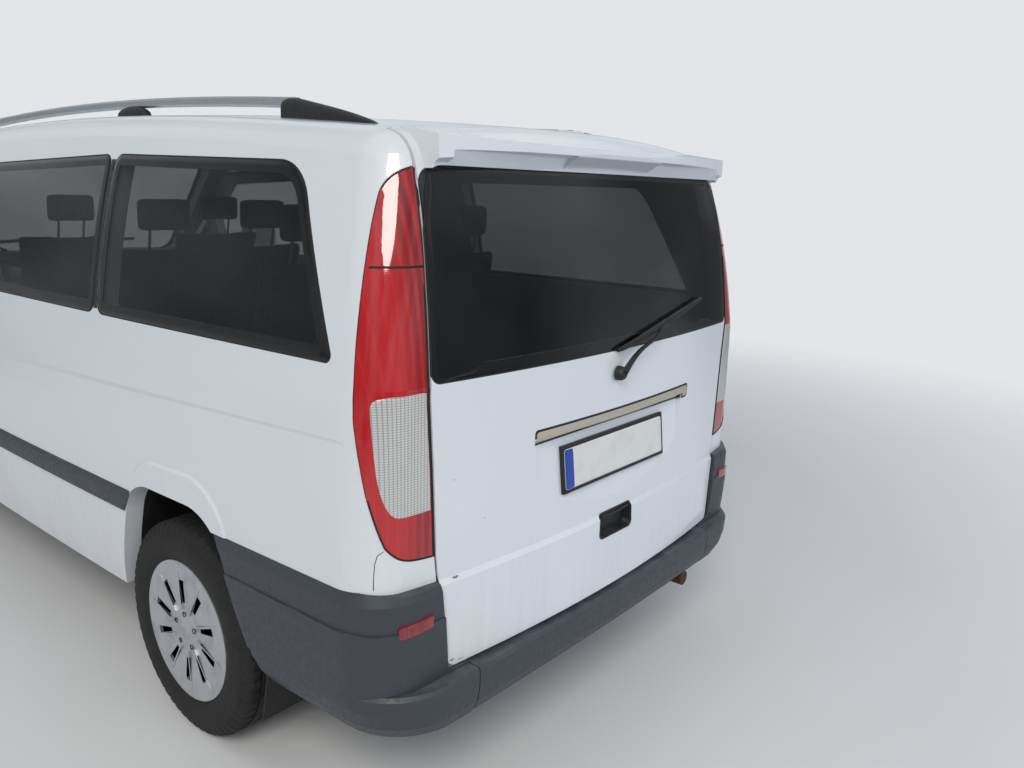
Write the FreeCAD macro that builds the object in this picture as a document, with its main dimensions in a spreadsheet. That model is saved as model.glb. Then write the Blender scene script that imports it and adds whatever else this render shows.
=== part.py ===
import FreeCAD, Part
# Minibus, built as an assembly of separate panels, glass, running gear and trim.
# Frame: +X forward, +Y left, +Z up, origin on the ground under the middle of the length.
# All lengths are millimetres.
import math
import os
from FreeCAD import Vector

DOC = FreeCAD.newDocument("minibus")
SHEET = DOC.addObject("Spreadsheet::Sheet", "sizes")

# The driving dimensions: alias, value, what it is
SIZES = [
    ("overall_length", 5010, "bumper to bumper"),
    ("front_overhang", 875, "front bumper to front axle"),
    ("wheelbase", 3200, "front axle to rear axle"),
    ("half_width", 950, "half the body's width at its widest"),
    ("roof_height", 1887, "roof skin at the crown"),
    ("belt_height", 1200, "where the sides turn inwards under the windows"),
    ("floor_height", 560, "top of the load floor"),
    ("floor_depth", 50, "thickness of the floor"),
    ("load_mat", 4, "thickness of the mat on the load floor"),
    ("load_mat_half", 560, "half width of the load mat"),
    ("wall", 55, "thickness of doors and walls"),
    ("wing_wall", 12, "thickness of the front wings with their edges"),
    ("bonnet_wall", 25, "thickness of the bonnet with its frame"),
    ("roof_edge", 100, "rounding of the roof's rim"),
    ("panel_gap", 7, "gap round doors and lids"),
    ("hinge_side", 5.5, "share of a hinge gap between the pin's middle and the fixed panel"),
    ("pin_radius", 1.8, "radius of the hinge pins"),
    ("pin_gap", 0.3, "radial gap round a hinge pin"),
    ("glass", 5, "thickness of the glass"),
    ("glass_gap", 4, "gap round a bonded pane"),
    ("flange", 18, "ledge that a pane is bonded to"),
    ("seat_gap", 0.3, "gap between pieces that touch"),
    ("tyre_radius", 335, "outer radius of the tyre"),
    ("tyre_width", 205, "width of the tyre"),
    ("rim_radius", 218, "outer radius of the rim flange"),
    ("rim_width", 190, "width of the rim"),
    ("half_track", 812, "wheel centre plane to the middle of the car"),
    ("hub_radius", 32, "radius of the stub that a wheel turns on"),
    ("hub_reach", 48, "length of the stub outside the wheel's centre plane"),
    ("running_gap", 0.05, "radial gap of a turning piece on its pin"),
    ("steer_offset", 132, "steering axis inside the wheel's centre plane"),
    ("kingpin_radius", 14, "radius of the steering pin"),
    ("house_radius", 425, "radius of the front wheel housing"),
    ("tailgate_seam", 235, "roof seam ahead of the rear end"),
    ("door_front", 1085, "front edge of the front door ahead of the middle"),
    ("door_rear", 35, "rear edge of the front door ahead of the middle"),
    ("slide_front", -30, "front edge of the sliding door"),
    ("slide_rear", -1040, "rear edge of the sliding door"),
    ("door_bottom", 445, "bottom edge of the side doors"),
    ("bonnet_rear", 1842, "rear edge of the bonnet ahead of the middle"),
    ("tailgate_bottom", 470, "bottom edge of the tailgate"),
    ("rail_radius", 14, "half the thickness of the roof rail"),
    ("rail_lift", 38, "height of the rail's middle over the roof"),
    ("rail_side", 620, "roof rail to the middle of the car"),
    ("engine_length", 560, "engine and gearbox casing along the car"),
    ("engine_width", 520, "engine across the car"),
    ("engine_height", 580, "engine from sump to cover"),
    ("tank_length", 760, "fuel tank along the car"),
    ("tank_width", 520, "fuel tank across the car"),
    ("tank_height", 200, "depth of the fuel tank"),
    ("shaft_radius", 32, "radius of the drive shaft"),
    ("pipe_radius", 26, "radius of the exhaust pipe"),
    ("wheel_ring", 188, "radius of the steering wheel's rim"),
    ("plate_width", 533, "width of the number plate's holder"),
    ("plate_height", 136, "height of the number plate's holder"),
    ("plate_depth", 10, "thickness of the number plate's holder"),
    ("plate_middle", 892, "height of the number plate's middle"),
    ("crease_depth", 6, "depth of the fold along the sides"),
    ("flare_lift", 6, "how far the arch lips stand out"),
    ("ledge_lift", 8, "how far the tailgate's foot stands out"),
    ("cover_slots", 10, "slots in a wheel cover"),
    ("slot_length", 74, "length of a slot in a wheel cover"),
    ("blade_height", 5, "height of the blades between the slots"),
    ("grille_bar", 16, "height of a grille bar"),
]
for row, (alias, value, words) in enumerate(SIZES, start=1):
    SHEET.set(f"A{row}", words)
    SHEET.set(f"B{row}", str(value))
    SHEET.setAlias(f"B{row}", alias)
DOC.recompute()


def size(alias):
    return float(SHEET.get(alias))


FRONT = size("overall_length") / 2
REAR = -FRONT
FRONT_AXLE = FRONT - size("front_overhang")
REAR_AXLE = FRONT_AXLE - size("wheelbase")
HALF = size("half_width")
BELT = size("belt_height")
ROOF = size("roof_height")
FLOOR = size("floor_height")
WALL = size("wall")
GAP = size("panel_gap")
SEAT = size("seat_gap")
GLASS = size("glass")
AXLE_Z = size("tyre_radius")
FAR = 4000.0
SIDE_SPAN = (300.0, 1500.0)
SEAM_X = REAR + size("tailgate_seam")

# Plan sections of the lower body: height, nose behind the front end, tail ahead of the rear end,
# sides inside the half width
LOWER_ROWS = [
    (220, 85, 110, 110),
    (300, 40, 60, 60),
    (430, 8, 28, 22),
    (600, 0, 24, 3),
    (780, 45, 23, 0),
    (1000, 112, 20, 6),
    (1200, 320, 16, 25),
]
# Plan sections above the belt: height over the belt, windscreen ahead of the middle,
# tail ahead of the rear end, sides inside the half width
UPPER_ROWS = [
    (0, 1790, 16, 25),
    (130, 1605, 29, 47),
    (300, 1368, 54, 84),
    (480, 1120, 96, 134),
    (580, 982, 125, 167),
    (720, 790, 170, 215),
]
# Plan sections of the rear bumper: height, tail ahead of the rear end, sides inside the half width
BUMPER_SKIRT = [(325, 26, 48), (362, 8, 24), (405, 1, 10), (448, 0, 4), (458, 6, 9)]
BUMPER_BODY = [(430, 42, 2), (540, 36, -8), (622, 33, -12)]
BUMPER_BAND = [(608, 37, -7), (692, 37, -8), (724, 49, -1)]
BUMPER_BOW, SKIRT_CORNER, BAND_CORNER = 20000.0, 190.0, 150.0
SIDE_BOW = 50000.0  # radius of the sides, seen from above
SIDE_MIDDLE = -400.0  # where the sides are widest
NOSE_BOW, NOSE_CORNER = 1500.0, 300.0
SCREEN_BOW, PILLAR_CORNER = 1900.0, 130.0
TAIL_BOW, TAIL_CORNER = 5400.0, 125.0


def meet(c1, r1, c2, r2):
    """The two points where two circles of the plan cross."""
    dx, dy = c2[0] - c1[0], c2[1] - c1[1]
    d = math.hypot(dx, dy)
    a = (r1 * r1 - r2 * r2 + d * d) / (2 * d)
    h = math.sqrt(max(r1 * r1 - a * a, 0.0))
    mx, my = c1[0] + a * dx / d, c1[1] + a * dy / d
    return [(mx - h * dy / d, my + h * dx / d), (mx + h * dy / d, my - h * dx / d)]


def reach(centre, radius, through):
    """The point of a circle that lies beyond another point, seen from its centre."""
    dx, dy = through[0] - centre[0], through[1] - centre[1]
    d = math.hypot(dx, dy)
    return (centre[0] + dx / d * radius, centre[1] + dy / d * radius)


def plan_outline(z, nose, tail, half, front_bow, front_corner, tail_bow, tail_corner):
    """A closed plan section of eight arcs, each tangent to the next."""
    front, back, side = (nose - front_bow, 0), (tail + tail_bow, 0), (SIDE_MIDDLE, half - SIDE_BOW)
    kf = max(meet(front, front_bow - front_corner, side, SIDE_BOW - front_corner))
    kr = min(meet(back, tail_bow - tail_corner, side, SIDE_BOW - tail_corner))
    pf, sf = reach(front, front_bow, kf), reach(side, SIDE_BOW, kf)
    pr, sr = reach(back, tail_bow, kr), reach(side, SIDE_BOW, kr)
    mf = reach(kf, front_corner, ((pf[0] + sf[0]) / 2, (pf[1] + sf[1]) / 2))
    mr = reach(kr, tail_corner, ((pr[0] + sr[0]) / 2, (pr[1] + sr[1]) / 2))
    ms = reach(side, SIDE_BOW, ((sf[0] + sr[0]) / 2, (sf[1] + sr[1]) / 2))

    def at(p, mirror=1):
        return Vector(p[0], mirror * p[1], z)

    arcs = [(at(pf, -1), at((nose, 0)), at(pf)), (at(pf), at(mf), at(sf)), (at(sf), at(ms), at(sr))]
    arcs += [(at(sr), at(mr), at(pr)), (at(pr), at((tail, 0)), at(pr, -1)), (at(pr, -1), at(mr, -1), at(sr, -1))]
    arcs += [(at(sr, -1), at(ms, -1), at(sf, -1)), (at(sf, -1), at(mf, -1), at(pf, -1))]
    return Part.Wire([Part.Arc(*a).toShape() for a in arcs])


def lower_loft(inset=0.0, low=None):
    """The body below the belt, drawn in by inset on all sides."""
    wires = []
    for z, nose, tail, tuck in LOWER_ROWS:
        z = z if z < 1200 else BELT
        wires.append(plan_outline(z, FRONT - nose - inset, REAR + tail + inset, HALF - tuck - inset,
                                  NOSE_BOW - inset, NOSE_CORNER - inset / 2, TAIL_BOW - inset, TAIL_CORNER - inset / 2))
    return Part.makeLoft(wires, True, False)


def upper_loft(inset=0.0):
    """The body above the belt, drawn in by inset square to the glass."""
    rake = 1.62  # a windscreen's inset along X for one along its normal
    wires = []
    for up, screen, tail, tuck in UPPER_ROWS:
        wires.append(plan_outline(BELT + up, screen - rake * inset, REAR + tail + inset, HALF - tuck - inset,
                                  SCREEN_BOW - inset, PILLAR_CORNER - inset / 2,
                                  TAIL_BOW - inset, TAIL_CORNER - inset / 2))
    return Part.makeLoft(wires, True, False)


def crown_solid(middle_x, top, bow, crown, reach_y, turn):
    """A solid under a surface crowned both ways: an arc across, turned about a far axis."""
    half = math.asin(reach_y / crown)

    def at(angle):
        return Vector(middle_x, crown * math.sin(angle), top - crown + crown * math.cos(angle))

    low = top - 1500.0
    a, b = at(half), at(-half)
    p, q = Vector(middle_x, a.y, low), Vector(middle_x, b.y, low)
    edges = [Part.Arc(b, at(0), a).toShape(), Part.makeLine(a, p), Part.makeLine(p, q), Part.makeLine(q, b)]
    face = Part.Face(Part.Wire(edges))
    axis = Vector(middle_x, 0, top - bow)
    face.rotate(axis, Vector(0, 1, 0), -turn)
    return face.revolve(axis, Vector(0, 1, 0), 2 * turn)


def solid(shape):
    """The one solid of a boolean's result."""
    found = shape.Solids
    if len(found) != 1:
        found = sorted(found, key=lambda s: -s.Volume)[:1]
    return found[0]


ROOF_BOW, ROOF_CROWN, ROOF_MIDDLE = 18000.0, 7000.0, -600.0
BONNET_BOW, BONNET_CROWN = 3000.0, 7000.0
BONNET_REAR = (1760.0, 1196.0)  # a point of the bonnet line near the screen
BONNET_FRONT = (2390.0, 985.0)  # a point of the bonnet line over the grille
NOSE_START = 1400.0  # where the form of the nose takes over from the lower body


def round_rim(shape, radius):
    """Round the rim of the crowned top face."""
    turned = ("Part::GeomToroid", "Part::GeomSurfaceOfRevolution")
    top = [f for f in shape.Faces if f.Surface.TypeId in turned][0]
    return shape.makeFillet(radius, top.OuterWire.Edges)


def roof_solid(drop=0.0):
    return crown_solid(ROOF_MIDDLE, ROOF - drop, ROOF_BOW - drop, ROOF_CROWN - drop, 1040.0, 9.0)


def bonnet_solid(drop=0.0):
    """Everything under the bonnet's surface."""
    (x0, z0), (x1, z1) = BONNET_REAR, BONNET_FRONT
    chord = math.hypot(x1 - x0, z1 - z0)
    sagitta = chord * chord / (8 * BONNET_BOW)
    nx, nz = (z0 - z1) / chord, (x1 - x0) / chord
    cx = (x0 + x1) / 2 - nx * (BONNET_BOW - sagitta)
    cz = (z0 + z1) / 2 - nz * (BONNET_BOW - sagitta)
    return crown_solid(cx, cz + BONNET_BOW - drop, BONNET_BOW - drop, BONNET_CROWN - drop, 1200.0, 34.0)


def box(x0, x1, y0, y1, z0, z1):
    return Part.makeBox(x1 - x0, y1 - y0, z1 - z0, Vector(x0, y0, z0))


def rounded(points, place):
    """A closed wire through corners (u, v, radius), each rounded by an arc."""
    edges, n = [], len(points)
    starts, ends, mids = [], [], []
    for i in range(n):
        (pu, pv, _), (cu, cv, r), (nu, nv, _) = points[i - 1], points[i], points[(i + 1) % n]
        a, b, c = Vector(pu, pv, 0), Vector(cu, cv, 0), Vector(nu, nv, 0)
        u, w = (a - b).normalize(), (c - b).normalize()
        half = math.acos(max(-1, min(1, u.dot(w)))) / 2
        if r <= 0 or half > math.radians(89.5):
            starts.append(b)
            ends.append(b)
            mids.append(None)
            continue
        back = r / math.tan(half)
        centre = b + (u + w).normalize() * (r / math.sin(half))
        starts.append(b + u * back)
        ends.append(b + w * back)
        mids.append(centre + (b - centre).normalize() * r)
    for i in range(n):
        if mids[i] is not None:
            edges.append(Part.Arc(place(starts[i]), place(mids[i]), place(ends[i])).toShape())
        nxt = (i + 1) % n
        if (ends[i] - starts[nxt]).Length > 1e-4:
            edges.append(Part.LineSegment(place(ends[i]), place(starts[nxt])).toShape())
    return Part.Wire(edges)


def prism_y(points, y0, y1):
    """Corners (x, z, radius) drawn along Y."""
    face = Part.Face(rounded(points, lambda p: Vector(p.x, y0, p.y)))
    return face.extrude(Vector(0, y1 - y0, 0))


def prism_x(points, x0, x1):
    """Corners (y, z, radius) drawn along X."""
    face = Part.Face(rounded(points, lambda p: Vector(x0, p.x, p.y)))
    return face.extrude(Vector(x1 - x0, 0, 0))


def prism_z(points, z0, z1):
    """Corners (x, y, radius) drawn along Z."""
    face = Part.Face(rounded(points, lambda p: Vector(p.x, p.y, z0)))
    return face.extrude(Vector(0, 0, z1 - z0))


def grown(points, by):
    """An outline moved outwards by a distance, corner by corner, for corners listed either way round."""
    area = sum(points[i - 1][0] * points[i][1] - points[i][0] * points[i - 1][1] for i in range(len(points)))
    way = 1 if area > 0 else -1
    out = []
    for i, (cu, cv, r) in enumerate(points):
        a, b, c = Vector(*points[i - 1][:2], 0), Vector(cu, cv, 0), Vector(*points[(i + 1) % len(points)][:2], 0)
        u, w = (b - a).normalize(), (c - b).normalize()
        n1, n2 = Vector(u.y, -u.x, 0) * way, Vector(w.y, -w.x, 0) * way
        n = n1 + n2
        n = n * (2 * by / n.Length ** 2)
        out.append((cu + n.x, cv + n.y, max(r + by, 0.0) if r > 0 else 0))
    return out


def both(points):
    """A half outline (y, z, radius) from top to bottom and its mirror image, closed."""
    return points + [(-y, z, r) for y, z, r in reversed(points)]


def mirrored(shape):
    return shape.mirror(Vector(0, 0, 0), Vector(0, 1, 0))


# The body's outer and inner forms, drawn in by a distance
FORMS = {}


def upper(inset=0.0):
    key = ("upper", inset)
    if key not in FORMS:
        form = solid(upper_loft(inset).common(roof_solid(inset)))
        FORMS[key] = round_rim(form, size("roof_edge") - min(inset, WALL) * 0.4)
    return FORMS[key]


def nose(inset=0.0):
    key = ("nose", inset)
    if key not in FORMS:
        form = solid(lower_loft(inset).common(bonnet_solid(inset)))
        FORMS[key] = solid(round_rim(form, 80.0).common(box(NOSE_START, FAR, -FAR, FAR, 0, FAR)))
    return FORMS[key]


def lower(inset=0.0):
    """The lower body back to the tail: its full height only as far as the windscreen's foot."""
    key = ("lower", inset)
    if key not in FORMS:
        FORMS[key] = lower_loft(inset)
    return FORMS[key]


LEFT, BACK = Vector(0, 1, 0), Vector(-1, 0, 0)


def skin_at(form, start, way):
    """Where a line from inside a form leaves it."""
    ends = [v.Point for v in form.common(Part.makeLine(start, start + way * FAR)).Vertexes]
    return max(ends, key=lambda p: p.dot(way))


def side_ring(corners, x0, x1):
    """A ring that follows the bow of the left side: corners (out of the skin, z)."""
    points = []
    for out, z in corners:
        form = lower(0.0) if z <= BELT else upper(0.0)
        points.append(Vector(SIDE_MIDDLE, skin_at(form, Vector(SIDE_MIDDLE, 0, z), LEFT).y + out, z))
    face = Part.Face(Part.makePolygon(points + points[:1]))
    axis = Vector(SIDE_MIDDLE, HALF - SIDE_BOW, 0)
    a0, a1 = [math.degrees(math.asin((x - SIDE_MIDDLE) / SIDE_BOW)) for x in (x0, x1)]
    face.rotate(axis, Vector(0, 0, 1), -a1)
    return face.revolve(axis, Vector(0, 0, 1), a1 - a0)


def tail_ring(corners):
    """A ring that follows the bow of the tail: corners (out of the skin, z)."""
    points = []
    for out, z in corners:
        skin = skin_at(lower(0.0), Vector(REAR_AXLE, 0, z), BACK)
        points.append(Vector(skin.x - out, 0, z))
    face = Part.Face(Part.makePolygon(points + points[:1]))
    axis = Vector(REAR + LOWER_ROWS[3][2] + TAIL_BOW, 0, 0)
    face.rotate(axis, Vector(0, 0, 1), -10)
    return face.revolve(axis, Vector(0, 0, 1), 20)


def run_out(x_deep, x_end, z, depth):
    """What a fold along the side loses at its end, so that it runs out at the skin."""
    deep, end = [skin_at(lower(0.0), Vector(x, 0, z), LEFT).y for x in (x_deep, x_end)]
    past = 2 * x_end - x_deep
    corners = [(x_deep, 0, 0), (x_deep, deep - depth, 0), (x_end, end + 1, 0), (past, end + 60, 0), (past, 0, 0)]
    return prism_z(corners, z - 200, z + 200)


# Every sub-part is one object of the document, labelled with its node's name
NODES = {}


def panel(name, shape):
    """A sub-part whose form is worked out in code from the sizes."""
    obj = DOC.addObject("Part::Feature", name)
    obj.Label = name
    obj.Shape = shape
    obj.Placement = FreeCAD.Placement()
    NODES[name] = obj
    return obj


def bind(obj, **formulas):
    """Bind properties to the sheet: underscores in a key stand for dots."""
    for key, formula in formulas.items():
        obj.setExpression(key.replace("_", "."), formula)
    return obj


def at_place(obj, x, y, z):
    return bind(obj, Placement_Base_x=x, Placement_Base_y=y, Placement_Base_z=z)


def block(name, x0, x1, y0, y1, z0, z1):
    """A box between formulas for its low and high faces."""
    obj = DOC.addObject("Part::Box", name)
    bind(obj, Length=f"({x1}) - ({x0})", Width=f"({y1}) - ({y0})", Height=f"({z1}) - ({z0})")
    return at_place(obj, x0, y0, z0)


def rod(name, radius, length, x, y, z, axis=Vector(0, 0, 1)):
    obj = DOC.addObject("Part::Cylinder", name)
    obj.Placement = FreeCAD.Placement(Vector(), FreeCAD.Rotation(Vector(0, 0, 1), axis))
    bind(obj, Radius=radius, Height=length)
    return at_place(obj, x, y, z)


def joined(name, parts):
    obj = DOC.addObject("Part::MultiFuse", name)
    obj.Shapes = parts
    obj.Refine = True
    return obj


def without(name, base, tool):
    obj = DOC.addObject("Part::Cut", name)
    obj.Base, obj.Tool = base, tool
    return obj


def node(obj, name):
    obj.Label = name
    NODES[name] = obj
    return obj


def side(y, shape_left):
    """A shape modelled on the left, mirrored for the right side."""
    return shape_left if y > 0 else mirrored(shape_left)


def fused(first, *others):
    return first.fuse(list(others)) if others else first


# Outlines of openings. Rear view corners: (y, z, radius); side view corners: (x, z, radius)
TAILGATE_EDGE = [(700, 1700, 0), (712, 1560, 0), (722, 1430, 0), (731, 1240, 0), (733, 1180, 0), (722, 1000, 0),
                 (712, 780, 0)]
TAILGATE_FOOT = (680, 25)  # half width and corner rounding at the bottom
LAMP_TOP, LAMP_FOOT = 1700, 778
LAMP_SIDE = [(-2316, LAMP_TOP, 75), (-2322, 1560, 0), (-2338, 1300, 0), (-2351, 1130, 200), (-2379, 960, 100),
             (-2406, 832, 40), (-2427, LAMP_FOOT, 18)]
REAR_ARCH = [(372, 200, 0), (372, 330, 0), (205, 772, 160), (-235, 772, 180), (-398, 330, 0), (-398, 200, 0)]
FRONT_ARCH = [(392, 200, 0), (392, 330, 0), (235, 772, 170), (-225, 772, 170), (-392, 330, 0), (-392, 200, 0)]
DOOR_X0, DOOR_X1 = size("door_rear"), size("door_front")
SLIDE_X0, SLIDE_X1 = size("slide_rear"), size("slide_front")
DOOR_Z = size("door_bottom")
FRONT_DOOR = [(DOOR_X0, DOOR_Z, 60), (DOOR_X1, DOOR_Z, 60), (DOOR_X1, 1500, 120), (790, 1718, 90), (DOOR_X0, 1745, 45)]
SLIDE_DOOR = [(SLIDE_X0, DOOR_Z, 60), (SLIDE_X1, DOOR_Z, 60), (SLIDE_X1, 1745, 45), (SLIDE_X0, 1738, 45)]
DOOR_PANE = [(95, 1252, 30), (1035, 1242, 25), (1035, 1478, 90), (768, 1668, 70), (95, 1692, 40)]
QUARTER_PANE = [(1118, 1250, 20), (1500, 1250, 12), (1188, 1475, 16), (1118, 1475, 22)]
MIDDLE_PANE = [(-1150, 1252, 35), (-38, 1252, 30), (-38, 1697, 45), (-1118, 1722, 40)]
SLIDE_PANE = [(-985, 1252, 35), (-38, 1252, 30), (-38, 1690, 45), (-985, 1690, 45)]
REAR_PANE = [(-2270, 1252, 14), (-1174, 1252, 35), (-1142, 1722, 40), (-2058, 1697, 150)]
REAR_PANE_RIGHT = [(-2270, 1252, 14), (-1095, 1252, 35), (-1095, 1718, 40), (-2058, 1697, 150)]
SCREEN = [(690, 1762, 70), (812, 1216, 60)]
TAIL_PANE = [(699, 1688, 45), (709, 1560, 0), (719, 1430, 0), (728, 1240, 0), (729, 1206, 22)]
BONNET_PLAN = [(size("bonnet_rear"), 745, 60), (2150, 720, 300), (2600, 560, 0)]
BONNET_FACE = [(3000, 1500, 0), (3000, 1075, 0), (720, 1020, 60), (452, 955, 30)]
HEADLAMP_FACE = [(462, 742, 20), (462, 948, 25), (720, 1012, 60), (1200, 1055, 0), (1200, 800, 0), (900, 742, 60)]
HEADLAMP_FLANK = [(2040, 1100, 0), (2150, 700, 0), (FAR, 700, 0), (FAR, 1100, 0)]


def moved(points, dx):
    return [(x + dx, z, r) for x, z, r in points]


def tailgate_region(by):
    """The tailgate's outline carried through the tail, and its strip of the roof."""
    foot, r = TAILGATE_FOOT
    z0 = size("tailgate_bottom")
    half = [(700, 1900, 0)] + TAILGATE_EDGE + [(foot, z0, r)]
    half = [(y + by, z - (by if z == z0 else 0), c) for y, z, c in half]
    rear = prism_x(both(half), -FAR, -2300)
    roof = box(-FAR, SEAM_X + by, -700 - by, 700 + by, 1640, 1900)
    return rear.fuse(roof)


def lamp_region(by):
    """A tail lamp's outline on the left: outside the tailgate, behind a line down the side."""
    inner = [(y + GAP - by, z, c) for y, z, c in TAILGATE_EDGE]
    inner[0] = (inner[0][0], LAMP_TOP + by, 0)
    rear = prism_x([(FAR, LAMP_TOP + by, 0), *inner, (inner[-1][0], 700, 0), (FAR, 700, 0)], -FAR, 0)
    outer = [(x + by, z, c) for x, z, c in LAMP_SIDE]
    outer[0] = (outer[0][0], LAMP_TOP + by, outer[0][2])
    outer[-1] = (outer[-1][0], LAMP_FOOT - by, outer[-1][2])
    flank = prism_y([(-FAR, LAMP_TOP + by, 0), *outer, (-FAR, LAMP_FOOT - by, 0)], 0, FAR)
    return rear.common(flank)


def bonnet_region(by=0.0):
    plan = [(x, y, r) for x, y, r in BONNET_PLAN] + [(x, -y, r) for x, y, r in reversed(BONNET_PLAN)]
    face = prism_x(both(BONNET_FACE), 1000, FAR)
    face.translate(Vector(0, 0, -by))
    return prism_z(grown(plan, by), 600, 1500).common(face)


def headlamp_region(by=0.0):
    return prism_x(grown(HEADLAMP_FACE, by), 0, FAR).common(prism_y(grown(HEADLAMP_FLANK, by), 0, FAR))


def pane(outline, y=1):
    """A bonded pane: the outermost layer of the body inside an outline."""
    return layer_glass().common(prism_y(outline, *(SIDE_SPAN if y > 0 else (-SIDE_SPAN[1], -SIDE_SPAN[0]))))


def layer_glass():
    if "glass" not in FORMS:
        FORMS["glass"] = upper(0.0).cut(upper(GLASS))
    return FORMS["glass"]


def pane_seat(outline, y):
    """What is cut from a panel for a pane: a shallow seat and a smaller hole through it."""
    lo, hi = SIDE_SPAN if y > 0 else (-SIDE_SPAN[1], -SIDE_SPAN[0])
    seat = prism_y(grown(outline, size("glass_gap")), lo, hi).cut(upper(GLASS + SEAT))
    return [seat, prism_y(grown(outline, -size("flange")), lo, hi)]


def face_seat(outline, x0, x1):
    """The same for a pane in the windscreen or the tailgate."""
    seat = prism_x(grown(outline, size("glass_gap")), x0, x1).cut(upper(GLASS + SEAT))
    return [seat, prism_x(grown(outline, -size("flange")), x0, x1)]


def cut_all(shape, tools):
    for tool in tools:
        shape = shape.cut(tool)
    return shape


# Shells: walls of the lower body, of the windows' storey, and of the nose
SILL = 372.0
WING = size("wing_wall")
DOOR_JAMB = DOOR_X1 + GAP
HOUSE_X = 1205.0  # where the front wheel housing begins
wall_low = lower(0.0).cut(lower(WALL)).common(box(-FAR, DOOR_JAMB, -FAR, FAR, SILL, BELT))
wall_high = upper(0.0).cut(upper(WALL))
# The fold along the side rises towards the tail: upper edge, bottom and lower edge of its section
CREASE = [(0, 1033), (-size("crease_depth"), 1013), (0, 945), (40, 945), (40, 1033)]
CREASE_RISE, CREASE_SPAN = 1.85, (-2345, 1330)
crease = side_ring(CREASE, *CREASE_SPAN)
crease.rotate(Vector(SIDE_MIDDLE, 0, 1033), Vector(0, 1, 0), CREASE_RISE)
crease = crease.cut(run_out(CREASE_SPAN[0] + 90, CREASE_SPAN[0], 1075, size("crease_depth")))
crease = crease.cut(run_out(CREASE_SPAN[1] - 90, CREASE_SPAN[1], 960, size("crease_depth")))
# A bead under the side windows catches the light
BEAD = [(-8, 1206), (0, 1206), (4, 1234), (-1, 1244), (-8, 1244)]
bead = side_ring(BEAD, -2275, 1480)
half_low = wall_low.common(box(-FAR, FAR, 0, FAR, 0, FAR)).cut(crease)
half_high = wall_high.common(box(-FAR, FAR, 0, FAR, 0, FAR))
wall_left = half_low.fuse(half_high).fuse(bead)
wall_right = mirrored(wall_left)
# The lips round the wheel arches: side view corners (x from the axle, z, radius)
FLARE = [(275, 560, 0), (175, 857, 150), (-240, 857, 190), (-352, 560, 0)]


def flare(arch, axle_x, low):
    """The raised lip round an arch, bevelled down to the skin."""
    wires = []
    for y, by in ((906, 36), (966, -36)):
        wires.append(rounded(moved(grown(FLARE, by), axle_x), lambda p, y=y: Vector(p.x, y, p.y)))
    shell = lower(-size("flare_lift")).cut(lower(4.0))
    lip = Part.makeLoft(wires, True, True).common(shell).cut(prism_y(moved(arch, axle_x), 0, FAR))
    return solid(lip.common(box(-FAR, FAR, 0, FAR, low, FAR)))


post = lower(WING + SEAT).cut(lower(WALL)).common(box(DOOR_JAMB, HOUSE_X, 0, FAR, DOOR_Z, BELT))

# Hinge pins of the front doors stand in the gap at the widest line of the sides
PIN_FOOT, PIN_LENGTH = 700.0, 110.0
DOOR_AXIS_X = DOOR_JAMB - size("hinge_side")
PIN_Y = max(skin_at(lower(0.0), Vector(DOOR_AXIS_X, 0, PIN_FOOT + up), LEFT).y for up in (0, 60, PIN_LENGTH))
PIN_Y = round(PIN_Y + 0.5, 1)


def door_pin(radius, grow=0.0):
    return Part.makeCylinder(radius, PIN_LENGTH + 2 * grow, Vector(DOOR_AXIS_X, PIN_Y, PIN_FOOT - grow))


def pin_web():
    return box(DOOR_AXIS_X, DOOR_JAMB + 4, PIN_Y - size("pin_radius"), PIN_Y - 0.6, PIN_FOOT, PIN_FOOT + PIN_LENGTH)


# Tailgate hinge pins lie in the gap on top of the roof
crown_z = upper(0.0).common(box(SEAM_X - 1, SEAM_X + 12, -5, 5, 1500, 2000)).BoundBox.ZMax
TAIL_AXIS_X = SEAM_X + GAP - size("hinge_side")
TAIL_AXIS_Z = round(crown_z + 0.6, 1)
TAIL_PINS = [(-60, 120)]


def tail_pin(radius, grow=0.0):
    shapes = []
    for y0, length in TAIL_PINS:
        shapes.append(Part.makeCylinder(radius, length + 2 * grow, Vector(TAIL_AXIS_X, y0 - grow, TAIL_AXIS_Z),
                                        Vector(0, 1, 0)))
    return shapes


rear_flare = flare(REAR_ARCH, REAR_AXLE, BUMPER_BAND[-1][0] + 1)
front_low = flare(REAR_ARCH, REAR_AXLE, 600.0).common(box(REAR_AXLE, FAR, 0, FAR, 0, FAR))
rear_flare = solid(rear_flare.fuse(front_low))
# What both sides lose: the tail, the lamps, the roof panel, the cowl, the bumper, the arch, doors and panes
side_base = wall_left.cut([tailgate_region(GAP), lamp_region(0.5)])
side_base = side_base.cut([box(SEAM_X, FAR, -FAR, 700, 1600, FAR), box(1000, FAR, -FAR, 795, 0, 1262),
                           box(-FAR, -2200, -FAR, 613 + SEAT, 0, 470),
                           prism_y(moved(REAR_ARCH, REAR_AXLE), 500, FAR)])
side_base = side_base.cut([prism_y(grown(FRONT_DOOR, GAP), *SIDE_SPAN), *pane_seat(QUARTER_PANE, 1)])
side_base = solid(cut_all(side_base, face_seat(both(SCREEN), 600, FAR)))


def side_panel(panes, doors):
    """A side of the body with its pillars, modelled on the left."""
    shape = side_base
    for outline in doors:
        shape = shape.cut(prism_y(grown(outline, GAP), *SIDE_SPAN))
    shape = shape.cut([tool for outline in panes for tool in pane_seat(outline, 1)])
    return solid(solid(shape).fuse([post, rear_flare]))


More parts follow.
